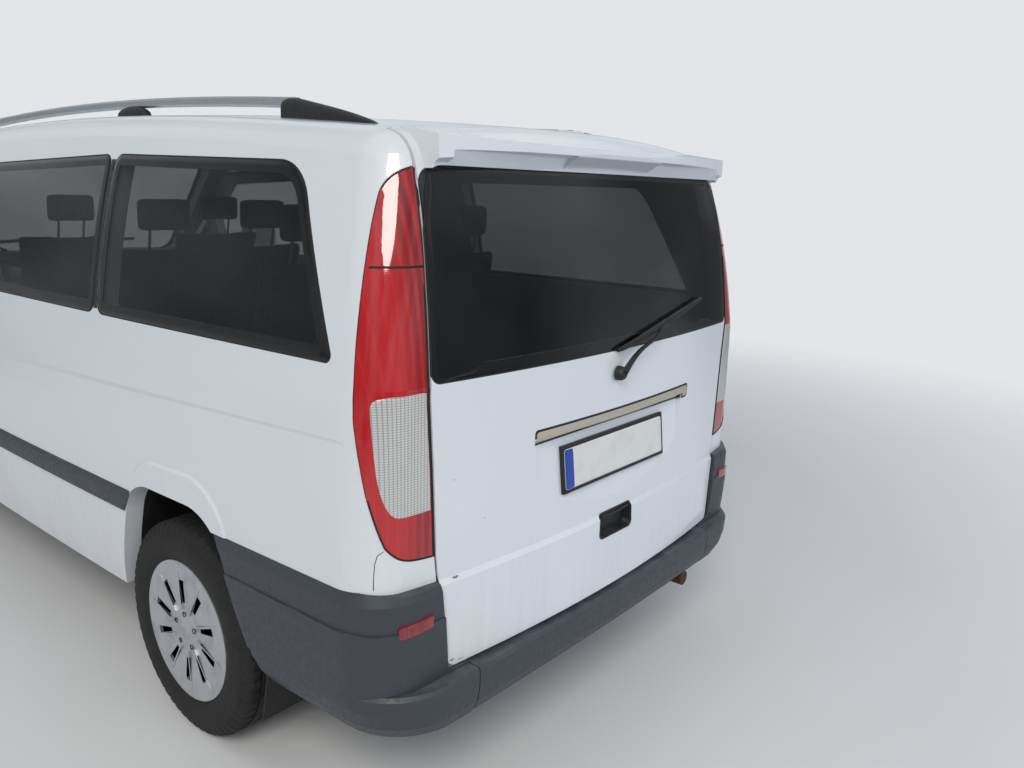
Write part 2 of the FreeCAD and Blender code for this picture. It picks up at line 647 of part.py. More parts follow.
side_left = side_panel([MIDDLE_PANE, REAR_PANE], [])
side_right = side_panel([REAR_PANE_RIGHT], [SLIDE_DOOR])
guides = [box(x0, x1, 888, 918, z, z + 60) for z in (620, 1100)
          for x0, x1 in ((SLIDE_X0 - GAP - 8, SLIDE_X0 - SEAT), (SLIDE_X1 + SEAT, SLIDE_X1 + GAP + 8))]
side_right = solid(side_right.fuse(guides))
panel("side_left", side_left)
panel("side_right", mirrored(side_right))

roof = wall_high.common(box(SEAM_X + GAP, FAR, -700 + SEAT, 700 - SEAT, 1600, FAR))
roof = cut_all(roof, face_seat(both(SCREEN), 600, FAR))
webs = [box(TAIL_AXIS_X, SEAM_X + GAP + 6, y, y + length, TAIL_AXIS_Z - 14, TAIL_AXIS_Z - 0.6) for y, length in TAIL_PINS]
roof = solid(roof).fuse(webs).fuse(tail_pin(size("pin_radius")))
panel("roof_panel", solid(roof))

# Panes bonded to the body
panel("windscreen", solid(layer_glass().common(prism_x(both(SCREEN), 600, FAR))))
fixed = [pane(QUARTER_PANE), pane(MIDDLE_PANE), pane(REAR_PANE)]
fixed += [mirrored(pane(QUARTER_PANE)), mirrored(pane(REAR_PANE_RIGHT))]
panel("side_glass", Part.makeCompound([solid(p) for p in fixed]))


# Front doors and the sliding door
def door_shape(outline, outline_pane):
    shape = wall_left.common(prism_y(outline, *SIDE_SPAN))
    return solid(cut_all(shape, pane_seat(outline_pane, 1)))


front_door = door_shape(FRONT_DOOR, DOOR_PANE).cut(door_pin(size("pin_radius") + size("pin_gap"), 1.0))
slide_door = door_shape(SLIDE_DOOR, SLIDE_PANE)
door_pane = solid(pane(DOOR_PANE))
panel("front_door_left", front_door)
panel("front_door_right", mirrored(front_door))
panel("door_glass_left", door_pane)
panel("door_glass_right", mirrored(door_pane))
panel("sliding_door", mirrored(slide_door))
panel("sliding_door_glass", mirrored(solid(pane(SLIDE_PANE))))

# Tailgate with its spoiler, glass and handle recess
tail_walls = wall_left.fuse(wall_right)
LEDGE = [(-6, 460), (size("ledge_lift"), 460), (size("ledge_lift"), 697), (0, 711), (-6, 711)]
tail_walls = tail_walls.fuse(tail_ring(LEDGE))
tailgate = solid(tail_walls.common(tailgate_region(0.0)))
SPOILER = [(-2285, 1660, 0), (-2285, 1778, 0), (-2438, 1754, 8), (-2455, 1744, 5), (-2450, 1730, 5),
           (-2398, 1698, 10), (-2380, 1660, 0)]
lip = prism_y(SPOILER, -683, 683)
bow = Part.makeCylinder(5400, 1000, Vector(-2455 + 5400, 0, 1300))
lip = lip.common(bow).common(crown_solid(ROOF_MIDDLE, ROOF + 2, ROOF_BOW, ROOF_CROWN, 1040.0, 9.0))
lip = lip.cut(upper(WALL - 10))
# Under the lip's edge a recess lies on each side of a thicker middle
UNDERCUT = [(-2600, 1600, 0), (-2600, 1726, 0), (-2442, 1732, 6), (-2418, 1727, 10), (-2372, 1660, 0), (-2372, 1600, 0)]
for y0, y1 in ((-640, -208), (208, 640)):
    lip = lip.cut(prism_y(UNDERCUT, y0, y1))
tailgate = solid(tailgate.fuse(lip))
tailgate = cut_all(tailgate, face_seat(both(TAIL_PANE), -FAR, -2200))
tailgate = cut_all(tailgate, tail_pin(size("pin_radius") + size("pin_gap"), 1.0))
handle = prism_x(both([(87, 716, 14), (87, 634, 20)]), -FAR, -2462)
tailgate = solid(tailgate.cut(handle))
# The number plate lies in a hollow that leans and runs out at its foot
PLATE_LEAN = 6.0
HOLLOW_FOOT, HOLLOW_TOP = (-2479, 780), 1003
hollow_top_x = HOLLOW_FOOT[0] + (HOLLOW_TOP - HOLLOW_FOOT[1]) * math.tan(math.radians(PLATE_LEAN))
hollow = prism_y([(-2600, 700, 0), (-2487.5, 700, 0), (*HOLLOW_FOOT, 0), (hollow_top_x, HOLLOW_TOP, 8),
                  (-2600, HOLLOW_TOP, 0)], -500, 500)
hollow = hollow.common(prism_x(both([(390, 1010, 10), (342, 790, 30), (300, 760, 30)]), -FAR, -2400))
tailgate = solid(tailgate.cut(hollow))
panel("tailgate", tailgate)
panel("tailgate_glass", solid(layer_glass().common(prism_x(both(TAIL_PANE), -FAR, -2200))))

# Lamps
lamp = solid(wall_left.common(lamp_region(0.0)))
panel("tail_lamps", Part.makeCompound([lamp, mirrored(lamp)]))

# Rear bumper: a step between two corners that wrap round to the arches
def bumper_loft(rows, corner):
    """One band of the bumper, straight from each section to the next."""
    wires = [plan_outline(z, FRONT - 60, REAR + tail, HALF - tuck, NOSE_BOW, NOSE_CORNER, BUMPER_BOW, corner)
             for z, tail, tuck in rows]
    return Part.makeLoft(wires, True, True)


skirt = bumper_loft(BUMPER_SKIRT, SKIRT_CORNER)
bumper = skirt.fuse([bumper_loft(BUMPER_BODY, BAND_CORNER), bumper_loft(BUMPER_BAND, BAND_CORNER)])
# The top edge falls off towards the tailgate
bumper = bumper.cut(prism_y([(-2335, 730, 0), (-2450, 708, 0), (-2600, 705, 0), (-2600, 800, 0), (-2335, 800, 0)],
                            -FAR, FAR))
bumper_centre = solid(skirt.cut(lower(WALL)).common(box(-FAR, -2300, -613, 613, 330, 460)))
panel("rear_bumper_centre", bumper_centre)
corner = bumper.common(box(-FAR, REAR_AXLE - 200, 0, FAR, 320, 752)).cut(lower(-SEAT))
corner = corner.cut(prism_y(moved(REAR_ARCH, REAR_AXLE), 0, FAR)).cut(tailgate_region(GAP))
corner = solid(corner.cut(box(-FAR, -2300, -FAR, 613 + GAP / 2, 0, 470)))
panel("rear_bumper_corners", Part.makeCompound([corner, mirrored(corner)]))

# Nose: bonnet, cowl, wings, lamps, grille and bumper
bonnet_wall = nose(0.0).cut(nose(size("bonnet_wall")))
bonnet = solid(bonnet_wall.common(bonnet_region()))
hinge_z = bonnet.common(box(size("bonnet_rear"), size("bonnet_rear") + 8, -900, 900, 0, FAR)).BoundBox.ZMax
BONNET_AXIS_X = size("bonnet_rear") - GAP + size("hinge_side")
BONNET_AXIS_Z = round(hinge_z + 0.6, 1)
COWL_X = size("bonnet_rear") - GAP


def bonnet_pin(radius, grow=0.0):
    return Part.makeCylinder(radius, 120 + 2 * grow, Vector(BONNET_AXIS_X, -60 - grow, BONNET_AXIS_Z), Vector(0, 1, 0))


bonnet = solid(bonnet.cut(bonnet_pin(size("pin_radius") + size("pin_gap"), 1.0)))
panel("bonnet", bonnet)
nose_skin = nose(0.0).cut(nose(WING))
cowl = nose_skin.common(box(1480, COWL_X, -790 + SEAT, 790 - SEAT, 1080, BELT))
strip = wall_high.common(box(1400, FAR, -795 + SEAT, 795 - SEAT, BELT, 1262))
strip = cut_all(strip, face_seat(both(SCREEN), 600, FAR))
web = box(COWL_X - 6, BONNET_AXIS_X, -60, 60, BONNET_AXIS_Z - 14, BONNET_AXIS_Z - 0.6)
cowl = solid(cowl.fuse(strip)).fuse(web).fuse(bonnet_pin(size("pin_radius")))
panel("cowl", solid(cowl))
BUMPER_TOP, GRILLE_X = 655.0, 2080.0
OVER_ARCH = 892.0  # the wing is one skin up to here, above the arch's lip
WING_TOP = BELT - 10  # top of the wing beside the bonnet
lower_skin = lower(0.0).cut(lower(WING))
wing_foot = lower_skin.common(box(DOOR_JAMB, FAR, 0, FAR, SILL, OVER_ARCH))
wing_foot = wing_foot.cut(box(NOSE_START, FAR, 0, FAR, 0, BUMPER_TOP + 2))
wing_foot = solid(wing_foot.cut(prism_y(moved(FRONT_ARCH, FRONT_AXLE), 0, FAR)))
wing = wing_foot.fuse([lower_skin.common(box(DOOR_JAMB, NOSE_START, 0, FAR, OVER_ARCH, BELT - SEAT)),
                       nose_skin.common(box(NOSE_START, FAR, 0, FAR, OVER_ARCH, WING_TOP)),
                       flare(FRONT_ARCH, FRONT_AXLE, BUMPER_TOP + 2)])
wing = wing.cut(crease).cut(bonnet_region(GAP))
wing = wing.cut(box(1000, size("bonnet_rear") + 4, -FAR, 790, 900, FAR))
wing = wing.cut(headlamp_region(0.5)).cut(box(GRILLE_X, FAR, -FAR, 455, 0, FAR))
wing = wing.cut(box(1000, 1400, 0, FAR, SILL, DOOR_Z - GAP).cut(box(1000, 1400, 0, FAR, SILL, 400)))
wing = solid(wing)
wing_web = pin_web()
wing = solid(wing.fuse([wing_web, door_pin(size("pin_radius"))]))
panel("front_wings", Part.makeCompound([wing, mirrored(wing)]))
headlamp = solid(bonnet_wall.common(headlamp_region().cut(bonnet_region(GAP))))
panel("headlamps", Part.makeCompound([headlamp, mirrored(headlamp)]))
face_box = box(GRILLE_X, FAR, -455 + SEAT, 455 - SEAT, 728 + SEAT, 948)
grille = bonnet_wall.common(face_box)
bar = size("grille_bar")
GRILLE_ROWS = 5
row_step = (948 - 728 - bar) / GRILLE_ROWS
for i in range(GRILLE_ROWS):
    foot = 728 + bar + i * row_step
    for y0, y1 in ((-430, -8), (8, 430)):
        grille = grille.cut(box(GRILLE_X + 20, FAR, y0, y1, foot, foot + row_step - bar))
panel("grille", solid(grille))
front_bumper = lower(0.0).cut(lower(WING)).common(box(FRONT_AXLE, FAR, -FAR, FAR, 225, BUMPER_TOP))
front_bumper = front_bumper.cut(prism_y(moved(FRONT_ARCH, FRONT_AXLE), -FAR, FAR))
middle = nose_skin.common(box(GRILLE_X, FAR, -455 + SEAT, 455 - SEAT, BUMPER_TOP - 20, 728))
front_bumper = front_bumper.fuse(middle)
front_bumper = front_bumper.cut(prism_x(both([(430, 455, 25), (470, 310, 25)]), 1700, FAR))
panel("front_bumper", solid(front_bumper))

# Floor with the rear wheel housings
floor = lower(WALL + SEAT).common(box(-FAR, HOUSE_X, -FAR, FAR, FLOOR - size("floor_depth"), FLOOR))
tub_room = lower(WALL + SEAT).common(box(-FAR, 0, 590, FAR, FLOOR - size("floor_depth"), BELT))
arch_out = prism_y(moved(grown(REAR_ARCH, 10), REAR_AXLE), 590, FAR)
arch_in = prism_y(moved(REAR_ARCH, REAR_AXLE), 600, FAR)
tub = tub_room.common(arch_out).cut(arch_in)
floor = floor.cut([arch_out, mirrored(arch_out)]).fuse([tub, mirrored(tub)])
floor = floor.fuse(box(-2405, -2385, -560, 560, 340, FLOOR - 5)).cut(bumper_centre)
behind = box(-FAR, -2300, -780, 780, size("tailgate_bottom") - GAP, FLOOR + 1).cut(lower(WALL + GAP))
floor = floor.cut(behind)
MAT_REAR, MAT_FRONT = -2370, -1600
MAT_HALF = size("load_mat_half")
floor = floor.fuse(box(MAT_REAR, MAT_FRONT, -MAT_HALF, MAT_HALF, FLOOR - 2, FLOOR + size("load_mat")))
panel("floor_pan", solid(floor))

# Front structure: bulkhead, inner wings, wheel housings, lamp carrier
house = Part.makeCylinder(size("house_radius"), 2 * FAR, Vector(FRONT_AXLE, -FAR, AXLE_Z), Vector(0, 1, 0))
house = house.cut(box(-FAR, FAR, -470, 470, 0, FAR))
bulkhead = prism_y([(1212, 512, 0), (1244, 545, 0), (1402, 716, 50), (1402, 1070, 0), (1388, 1070, 0), (1388, 726, 40),
                    (1234, 572, 30), (1206, 560, 0), (1206, 512, 0)], -830, 830)
bulkhead = bulkhead.common(lower(WALL + SEAT))
inner = [box(1400, 2250, 455, 470, 420, 900)]
inner.append(box(2250, 2290, 400, 470, 340, 900))
liner = Part.makeCylinder(size("house_radius") + 8, 435, Vector(FRONT_AXLE, 465, AXLE_Z), Vector(0, 1, 0))
liner = liner.cut(Part.makeCylinder(size("house_radius"), 500, Vector(FRONT_AXLE, 455, AXLE_Z), Vector(0, 1, 0)))
liner = liner.cut(box(0, FAR, 0, FAR, -FAR, 420))
STRUT_Y = size("half_track") - size("steer_offset")
tower = Part.makeCylinder(60, 66, Vector(FRONT_AXLE, STRUT_Y, 752))
inner += [liner, tower]
right = [mirrored(x) for x in inner]
carrier = [box(2256, 2290, -470, 470, 860, 900), box(2256, 2290, -470, 470, 340, 380)]
carrier.append(box(2262, 2286, -380, 380, 380, 860))
frame = fused(bulkhead, *inner, *right, *carrier)
frame = frame.common(lower(WING + 4)).cut(prism_y([(1000, 0, 0), (FAR, 0, 0), (FAR, 330, 0), (1000, 330, 0)], -FAR, FAR))
bore = Part.makeCylinder(20 + size("running_gap"), 400, Vector(FRONT_AXLE, STRUT_Y, 600))
frame = frame.cut([bore, mirrored(bore)])
panel("front_frame", solid(frame))

# Running gear, set out from the axles by the sheet
AX = "(sizes.overall_length / 2 - sizes.front_overhang)"
BX = f"({AX} - sizes.wheelbase)"
FLOOR_LOW = "(sizes.floor_height - sizes.floor_depth - sizes.seat_gap)"
FORWARD, LEFTWARD = Vector(1, 0, 0), Vector(0, 1, 0)


def wheel_profile(body, name, points):
    """A closed polygon of (across, radius) in the body's upright plane."""
    sketch = body.newObject("Sketcher::SketchObject", name)
    plane = [f for f in body.Origin.OriginFeatures if f.Role == "YZ_Plane"][0]
    sketch.AttachmentSupport = [(plane, "")]
    sketch.MapMode = "FlatFace"
    n = len(points)
    for i in range(n):
        a, b = points[i], points[(i + 1) % n]
        sketch.addGeometry(Part.LineSegment(Vector(a[0], a[1], 0), Vector(b[0], b[1], 0)), False)
    return sketch


def turned(name, points):
    """A ring turned about the axle, placed at its wheel."""
    body = DOC.addObject("PartDesign::Body", name)
    sketch = wheel_profile(body, name + "_profile", points)
    ring = body.newObject("PartDesign::Revolution", name + "_ring")
    ring.Profile = sketch
    ring.ReferenceAxis = (sketch, ["H_Axis"])
    ring.Angle = 360
    body.Tip = ring
    return body


HALF_TYRE = size("tyre_width") / 2
TYRE_R, RIM_R, HALF_RIM = size("tyre_radius"), size("rim_radius"), size("rim_width") / 2
TYRE_HALF_PROFILE = [(0, 0), (72, 0), (93, 14), (102.5, 56), (92, 117 - SEAT)]
tyre_points = [(u, TYRE_R - d) for u, d in TYRE_HALF_PROFILE[1:]]
tyre_points = [(-u, r) for u, r in reversed(tyre_points)] + tyre_points
RIM_IN, HUB_R, HUB_OUT = RIM_R - 12, size("hub_radius") + size("running_gap"), size("hub_reach") + 2
wheel_points = [(-HALF_RIM, RIM_IN), (-HALF_RIM, RIM_R), (HALF_RIM, RIM_R), (HALF_RIM + 1, RIM_R - 6), (97, 150)]
wheel_points += [(92, 70), (96, 44), (97, 0), (89, 0), (89, 44), (86, 70), (88, 150), (86, RIM_IN), (HUB_OUT, RIM_IN)]
wheel_points += [(HUB_OUT, HUB_R), (-10, HUB_R), (-10, 60), (HUB_OUT - 10, 60), (HUB_OUT - 10, RIM_IN)]
WHEELS = [("fl", AX, 1), ("fr", AX, -1), ("rl", BX, 1), ("rr", BX, -1)]
COVER_FACE, COVER_BACK = 97.0, 84.0
SLOT_START = 90.0


def cover_sketch(body, name, way, lift, corners):
    """A closed polygon (across, radius) on the plane in front of a wheel cover."""
    sketch = body.newObject("Sketcher::SketchObject", name)
    plane = [f for f in body.Origin.OriginFeatures if f.Role == "XZ_Plane"][0]
    sketch.AttachmentSupport = [(plane, "")]
    sketch.MapMode = "FlatFace"
    sketch.AttachmentOffset = FreeCAD.Placement(Vector(0, 0, -way * lift), FreeCAD.Rotation())
    for i, corner in enumerate(corners):
        after = corners[(i + 1) % len(corners)]
        sketch.addGeometry(Part.LineSegment(Vector(*corner, 0), Vector(*after, 0)), False)
    return sketch


def round_the_axle(body, name, feature, sketch, count):
    pattern = body.newObject("PartDesign::PolarPattern", name)
    pattern.Originals = [feature]
    pattern.Axis = (sketch, ["N_Axis"])
    pattern.Angle = 360
    pattern.Occurrences = count
    body.Tip = pattern
    return pattern


def slotted_cover(body, tag, way):
    """Slots through a wheel cover, and a blade beside each slot."""
    end = SLOT_START + size("slot_length")
    slot = [(-6, SLOT_START), (7, SLOT_START), (13, end), (-11, end)]
    sketch = cover_sketch(body, "slot_" + tag, way, COVER_FACE + 6, slot)
    cut = body.newObject("PartDesign::Pocket", "slot_cut_" + tag)
    cut.Profile = sketch
    cut.Length = COVER_FACE + 6 - COVER_BACK
    cut.Reversed = way > 0
    body.Tip = cut
    round_the_axle(body, "slots_" + tag, cut, sketch, int(size("cover_slots")))
    blade = [(9, SLOT_START - 24), (14, SLOT_START - 24), (21, end + 22), (15, end + 22)]
    sketch = cover_sketch(body, "blade_" + tag, way, COVER_FACE + 1, blade)
    pad = body.newObject("PartDesign::Pad", "blade_pad_" + tag)
    pad.Profile = sketch
    pad.Length = COVER_FACE + 1 - COVER_BACK - 3
    pad.Reversed = way < 0
    body.Tip = pad
    round_the_axle(body, "blades_" + tag, pad, sketch, int(size("cover_slots")))


for tag, x, way in WHEELS:
    tyre = turned("tyre_" + tag, [(way * u, r) for u, r in tyre_points])
    rim = turned("rim_" + tag, [(way * u, r) for u, r in wheel_points])
    slotted_cover(rim, tag, way)
    for obj in (tyre, rim):
        at_place(obj, x, f"{way} * sizes.half_track", "sizes.tyre_radius")
    node(tyre, "tyre_" + tag)
    node(rim, "wheel_" + tag)


def stub(name, x, way, inside):
    """The stub that a wheel turns on, from a flange inside it."""
    axis = Vector(0, way, 0)
    y0 = f"{way} * (sizes.half_track - ({inside}))"
    shaft = rod(name + "_shaft", "sizes.hub_radius", f"sizes.hub_reach + ({inside})", x, y0, "sizes.tyre_radius", axis)
    disc = rod(name + "_disc", "140", "14", x, f"{way} * (sizes.half_track - 40)", "sizes.tyre_radius", axis)
    return [shaft, disc]


def knuckle(name, way):
    parts = stub(name, AX, way, "sizes.steer_offset + 20")
    y = f"{way} * (sizes.half_track - sizes.steer_offset)"
    parts.append(rod(name + "_pin", "sizes.kingpin_radius", "300", AX, y, "200"))
    parts.append(rod(name + "_strut", "20", "416", AX, y, "390"))
    return joined(name, parts)


node(knuckle("knuckle_left", 1), "knuckle_left")
node(knuckle("knuckle_right", -1), "knuckle_right")


def arm(name, way):
    """A wishbone plate with a bore for the steering pin."""
    y = f"{way} * (sizes.half_track - sizes.steer_offset)"
    low, high = ("400", "sizes.half_track - sizes.steer_offset") if way > 0 else (
        "sizes.steer_offset - sizes.half_track", "-400")
    plate = block(name + "_plate", f"{AX} - 34", f"{AX} + 34", low, high, "212", "238")
    end = rod(name + "_end", "26", "26", AX, y, "212")
    hole = rod(name + "_hole", "sizes.kingpin_radius + sizes.running_gap", "60", AX, y, "195")
    return without(name, joined(name + "_arm", [plate, end]), hole)


cross = block("front_cross", f"{AX} - 130", f"{AX} + 130", "-420", "420", "205", "275")
posts = []
for way in (1, -1):
    low, high = ("456", "469.5") if way > 0 else ("-469.5", "-456")
    posts.append(block(f"front_post_{way + 1}", f"{AX} - 60", f"{AX} + 60", low, high, "240", "419.7"))
    low, high = ("400", "469.5") if way > 0 else ("-469.5", "-400")
    posts.append(block(f"front_foot_{way + 1}", f"{AX} - 60", f"{AX} + 60", low, high, "212", "260"))
node(joined("front_subframe", [cross, arm("arm_left", 1), arm("arm_right", -1)] + posts), "front_subframe")
beam = block("rear_beam", f"{BX} - 55", f"{BX} + 55", "-640", "640", "290", "380")
links = [beam]
for way in (1, -1):
    links += stub(f"rear_stub_{way + 1}", BX, way, "sizes.half_track - 600")
    low, high = ("470", "530") if way > 0 else ("-530", "-470")
    links.append(block(f"rear_link_{way + 1}", f"{BX} + 20", f"{BX} + 480", low, high, "300", "360"))
    links.append(block(f"rear_bush_{way + 1}", f"{BX} + 430", f"{BX} + 480", low, high, "340", FLOOR_LOW))
    links.append(rod(f"rear_spring_{way + 1}", "58", f"{FLOOR_LOW} - 370", BX, f"{way} * 500", "370"))
node(joined("rear_subframe", links), "rear_subframe")
engine = block("engine", f"{AX} - 120", f"{AX} - 120 + sizes.engine_length", "-sizes.engine_width / 2",
               "sizes.engine_width / 2", "345", "345 + sizes.engine_height")
node(engine, "engine_block")
mounts = block("engine_mounts", f"{AX} - 40", f"{AX} + 40", "-240", "240", "275.3", "344.7")
gearbox = block("gearbox", f"{AX} - 700", f"{AX} - 120.3", "-130", "130", "290", "480")
box_mount = block("gearbox_mount", f"{AX} - 640", f"{AX} - 560", "-120", "120", "470", FLOOR_LOW)
shaft = rod("drive_shaft", "sizes.shaft_radius", f"{AX} - 690 - ({BX} + 60)", f"{BX} + 60", "0", "350", FORWARD)
final = block("final_drive", f"{BX} + 55.3", f"{BX} + 240", "-110", "110", "270", "410")
node(joined("drive_line", [gearbox, box_mount, shaft, final]), "drive_line")
node(mounts, "engine_mounts")
tank = block("tank", "-60", "-60 + sizes.tank_length", "100", "100 + sizes.tank_width",
             f"{FLOOR_LOW} - sizes.tank_height", FLOOR_LOW)
node(tank, "fuel_tank")
pipe = rod("pipe", "sizes.pipe_radius", "2500", "-1000", "-330", "300", FORWARD)
can = block("silencer", "-900", "-280", "-440", "-220", "240", "400")
tail = rod("tail_pipe", "sizes.pipe_radius", "440", "-2470", "-500", "300", FORWARD)
can_rear = block("rear_silencer", "-2330", "-2080", "-590", "-330", "245", "400")
hangers = [block("hanger_a", "-620", "-560", "-350", "-310", "395", FLOOR_LOW)]
hangers.append(block("hanger_b", "-2230", "-2170", "-480", "-440", "395", FLOOR_LOW))
over = block("over_axle", "-2085", "-895", "-420", "-380", "395", "440")
riser = block("riser_a", "-930", "-895", "-420", "-380", "300", "440")
riser_b = block("riser_b", "-2115", "-2078", "-420", "-380", "300", "440")
node(joined("exhaust", [pipe, can, tail, can_rear, over, riser, riser_b] + hangers), "exhaust")


def arch_rear(z):
    """The rear edge of the rear arch at a height, from the axle."""
    (x1, z1, _), (x0, z0, _) = REAR_ARCH[4], REAR_ARCH[3]
    return x1 + (x0 - x1) * (z - z1) / (z0 - z1)


FLAP_TOP, FLAP_THICK = 520, 8
flap_points = [(arch_rear(FLAP_TOP) + SEAT, FLAP_TOP, 0), (arch_rear(332) + SEAT, 332, 30), (-366, 190, 0)]
flap_points += [(x + FLAP_THICK, z, r) for x, z, r in reversed(flap_points)]
flap = prism_y(moved(flap_points, REAR_AXLE), 700, 888)
panel("mud_flaps", Part.makeCompound([flap, mirrored(flap)]))


# Cabin: dashboard, steering, seats
DASH = [(1388 - SEAT, 1060, 0), (1388 - SEAT, 780, 0), (1180, 760, 40), (1130, 900, 60), (1120, 1060, 40), (1240, 1140, 60)]
dash = prism_y(DASH, -800, 800).common(lower(WALL + SEAT))
COLUMN_FOOT, COLUMN_LEAN, DRIVER_Y = Vector(1180, 370, 990), 25.0, 370.0
column_way = Vector(-math.cos(math.radians(COLUMN_LEAN)), 0, math.sin(math.radians(COLUMN_LEAN)))
column = Part.makeCylinder(28, 130, COLUMN_FOOT, column_way)
spindle = Part.makeCylinder(12, 170, COLUMN_FOOT, column_way)
panel("dashboard", solid(dash.fuse([column, spindle])))
WHEEL_AT = COLUMN_FOOT + column_way * 150
ring = Part.makeTorus(size("wheel_ring"), 14, WHEEL_AT, column_way)
hub = Part.makeCylinder(62, 34, WHEEL_AT - column_way * 17, column_way)
across = [Part.makeBox(26, 2 * size("wheel_ring"), 16, Vector(-13, -size("wheel_ring"), -8))]
across.append(Part.makeBox(size("wheel_ring"), 30, 16, Vector(0, -15, -8)))
turn = FreeCAD.Placement(WHEEL_AT, FreeCAD.Rotation(Vector(0, 0, 1), column_way))
spokes = []
for bar in across:
    bar.Placement = turn
    spokes.append(bar)
steering = ring.fuse([hub] + spokes)
steering = steering.cut(Part.makeCylinder(12 + size("running_gap"), 220, COLUMN_FOOT, column_way))
panel("steering_wheel", solid(steering))


def seat(x, y, half, places):
    """Cushion, backrest and headrests over a plinth that stands on the floor."""
    cushion = prism_y([(x, 800, 30), (x, 900, 50), (x + 500, 930, 60), (x + 520, 820, 40)], y - half, y + half)
    back = prism_y([(x + 40, 860, 40), (x - 70, 870, 40), (x - 220, 1420, 50), (x - 110, 1440, 50)], y - half, y + half)
    plinth = box(x + 40, x + 420, y - half + 60, y + half - 60, FLOOR + SEAT, 820)
    parts = [back, plinth]
    for py in places:
        parts.append(box(x - 225, x - 135, y + py - 120, y + py + 120, 1455, 1600))
        parts.append(box(x - 192, x - 176, y + py - 60, y + py + 60, 1380, 1500))
    return solid(cushion.fuse(parts))


panel("seat_driver", seat(420, DRIVER_Y, 245, [0]))
panel("seat_passenger", seat(420, -DRIVER_Y, 245, [0]))
panel("bench_middle", seat(-520, 0, 640, [-420, 0, 420]))
panel("bench_rear", seat(-1330, 0, 560, [-370, 0, 370]))


# Mirrors, roof rails, wipers and the plate
def mirror_shape():
    shell = prism_x([(1010, 1235, 30), (1010, 1420, 40), (1180, 1400, 60), (1180, 1260, 50)], 940, 1060)
    front = prism_z([(930, 985, 0), (930, 1200, 0), (1000, 1200, 60), (1062, 1100, 60), (1062, 985, 40)], 1100, 1500)
    foot = box(965, 1035, 880, 1030, 1245, 1290)
    return solid(shell.common(front).fuse(foot).cut(upper(-SEAT)))


mirror = mirror_shape()
panel("mirror_left", mirror)
panel("mirror_right", mirrored(mirror))


def rail_arc(radius_y, lift, x0, x1, half_w, half_h):
    """A bar that follows the roof line at a distance from the middle."""
    drop = ROOF_CROWN - math.sqrt(ROOF_CROWN ** 2 - radius_y ** 2)
    top = ROOF - drop + lift
    axis = Vector(ROOF_MIDDLE, 0, top - ROOF_BOW)
    rim = [(radius_y - half_w, top - half_h, 8), (radius_y + half_w, top - half_h, 8),
           (radius_y + half_w, top + half_h, 8), (radius_y - half_w, top + half_h, 8)]
    face = Part.Face(rounded(rim, lambda p: Vector(ROOF_MIDDLE, p.x, p.y)))
    a0, a1 = math.degrees((x0 - ROOF_MIDDLE) / ROOF_BOW), math.degrees((x1 - ROOF_MIDDLE) / ROOF_BOW)
    face.rotate(axis, Vector(0, 1, 0), a0)
    return face.revolve(axis, Vector(0, 1, 0), a1 - a0)


RAIL_Y, RAIL_R = size("rail_side"), size("rail_radius")
RAIL_SPAN, FOOT_SPANS = (-1815, 690), [(-2140, -1790), (-1030, -860), (600, 850)]
rail = solid(rail_arc(RAIL_Y, size("rail_lift"), *RAIL_SPAN, RAIL_R, RAIL_R))
feet = []
for x0, x1 in FOOT_SPANS:
    lift = size("rail_lift") / 2 - 4
    foot = rail_arc(RAIL_Y, lift, x0, x1, RAIL_R + 4, lift + 8).cut(rail_arc(RAIL_Y, size("rail_lift"), RAIL_SPAN[0] - 3,
                                                                         RAIL_SPAN[1] + 3, RAIL_R + SEAT, RAIL_R + SEAT))
    feet.append(solid(foot.cut(roof_solid(-SEAT))))
panel("roof_rails", Part.makeCompound([rail, mirrored(rail)]))
panel("rail_feet", Part.makeCompound(feet + [mirrored(f) for f in feet]))


def plate_block(name):
    """The holder lies on the hollow's leaning floor."""
    lean = math.radians(PLATE_LEAN)
    foot_z = size("plate_middle") - size("plate_height") / 2 * math.cos(lean)
    seat_x = HOLLOW_FOOT[0] + (foot_z - HOLLOW_FOOT[1]) * math.tan(lean)
    out = size("plate_depth") + SEAT
    obj = DOC.addObject("Part::Box", name)
    obj.Placement = FreeCAD.Placement(Vector(), FreeCAD.Rotation(Vector(0, 1, 0), PLATE_LEAN))
    bind(obj, Length="sizes.plate_depth", Width="sizes.plate_width", Height="sizes.plate_height")
    return at_place(obj, f"{seat_x - out * math.cos(lean)}", "-sizes.plate_width / 2",
                    f"{foot_z + out * math.sin(lean)}")


node(plate_block("plate_rear"), "rear_plate")
wiper = box(-2502, -2480, 18, 50, 1118, 1152).fuse(box(-2504, -2494, 28, 40, 1135, 1215)).cut(lower(-SEAT))
blade = Part.makeBox(6, 600, 16, Vector(-2505, -520, 0))
blade.Placement = FreeCAD.Placement(Vector(0, 0, 1204), FreeCAD.Rotation(Vector(1, 0, 0), -8))
panel("rear_wiper", solid(wiper.fuse(blade)))

DOC.recompute()
faults = []
for obj in DOC.Objects:
    if "Invalid" in obj.State or "Error" in obj.State:
        faults.append(obj.Name)
for name, obj in NODES.items():
    if obj.Shape.isNull() or not obj.Shape.isValid() or not obj.Shape.Solids:
        faults.append(name)
os.makedirs("parts", exist_ok=True)
for name, obj in NODES.items():
    obj.Shape.exportStep(f"parts/{name}.step")
    print(name, len(obj.Shape.Solids), round(obj.Shape.Volume / 1e6, 2))
print("axes", TAIL_AXIS_X, TAIL_AXIS_Z, BONNET_AXIS_X, BONNET_AXIS_Z, DOOR_AXIS_X, PIN_Y, WHEEL_AT)
if faults:
    raise RuntimeError("faulty sub-parts: " + ", ".join(sorted(set(faults))))
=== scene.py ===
import math

import bmesh
import bpy
from mathutils import Matrix, Vector
from mathutils.bvhtree import BVHTree


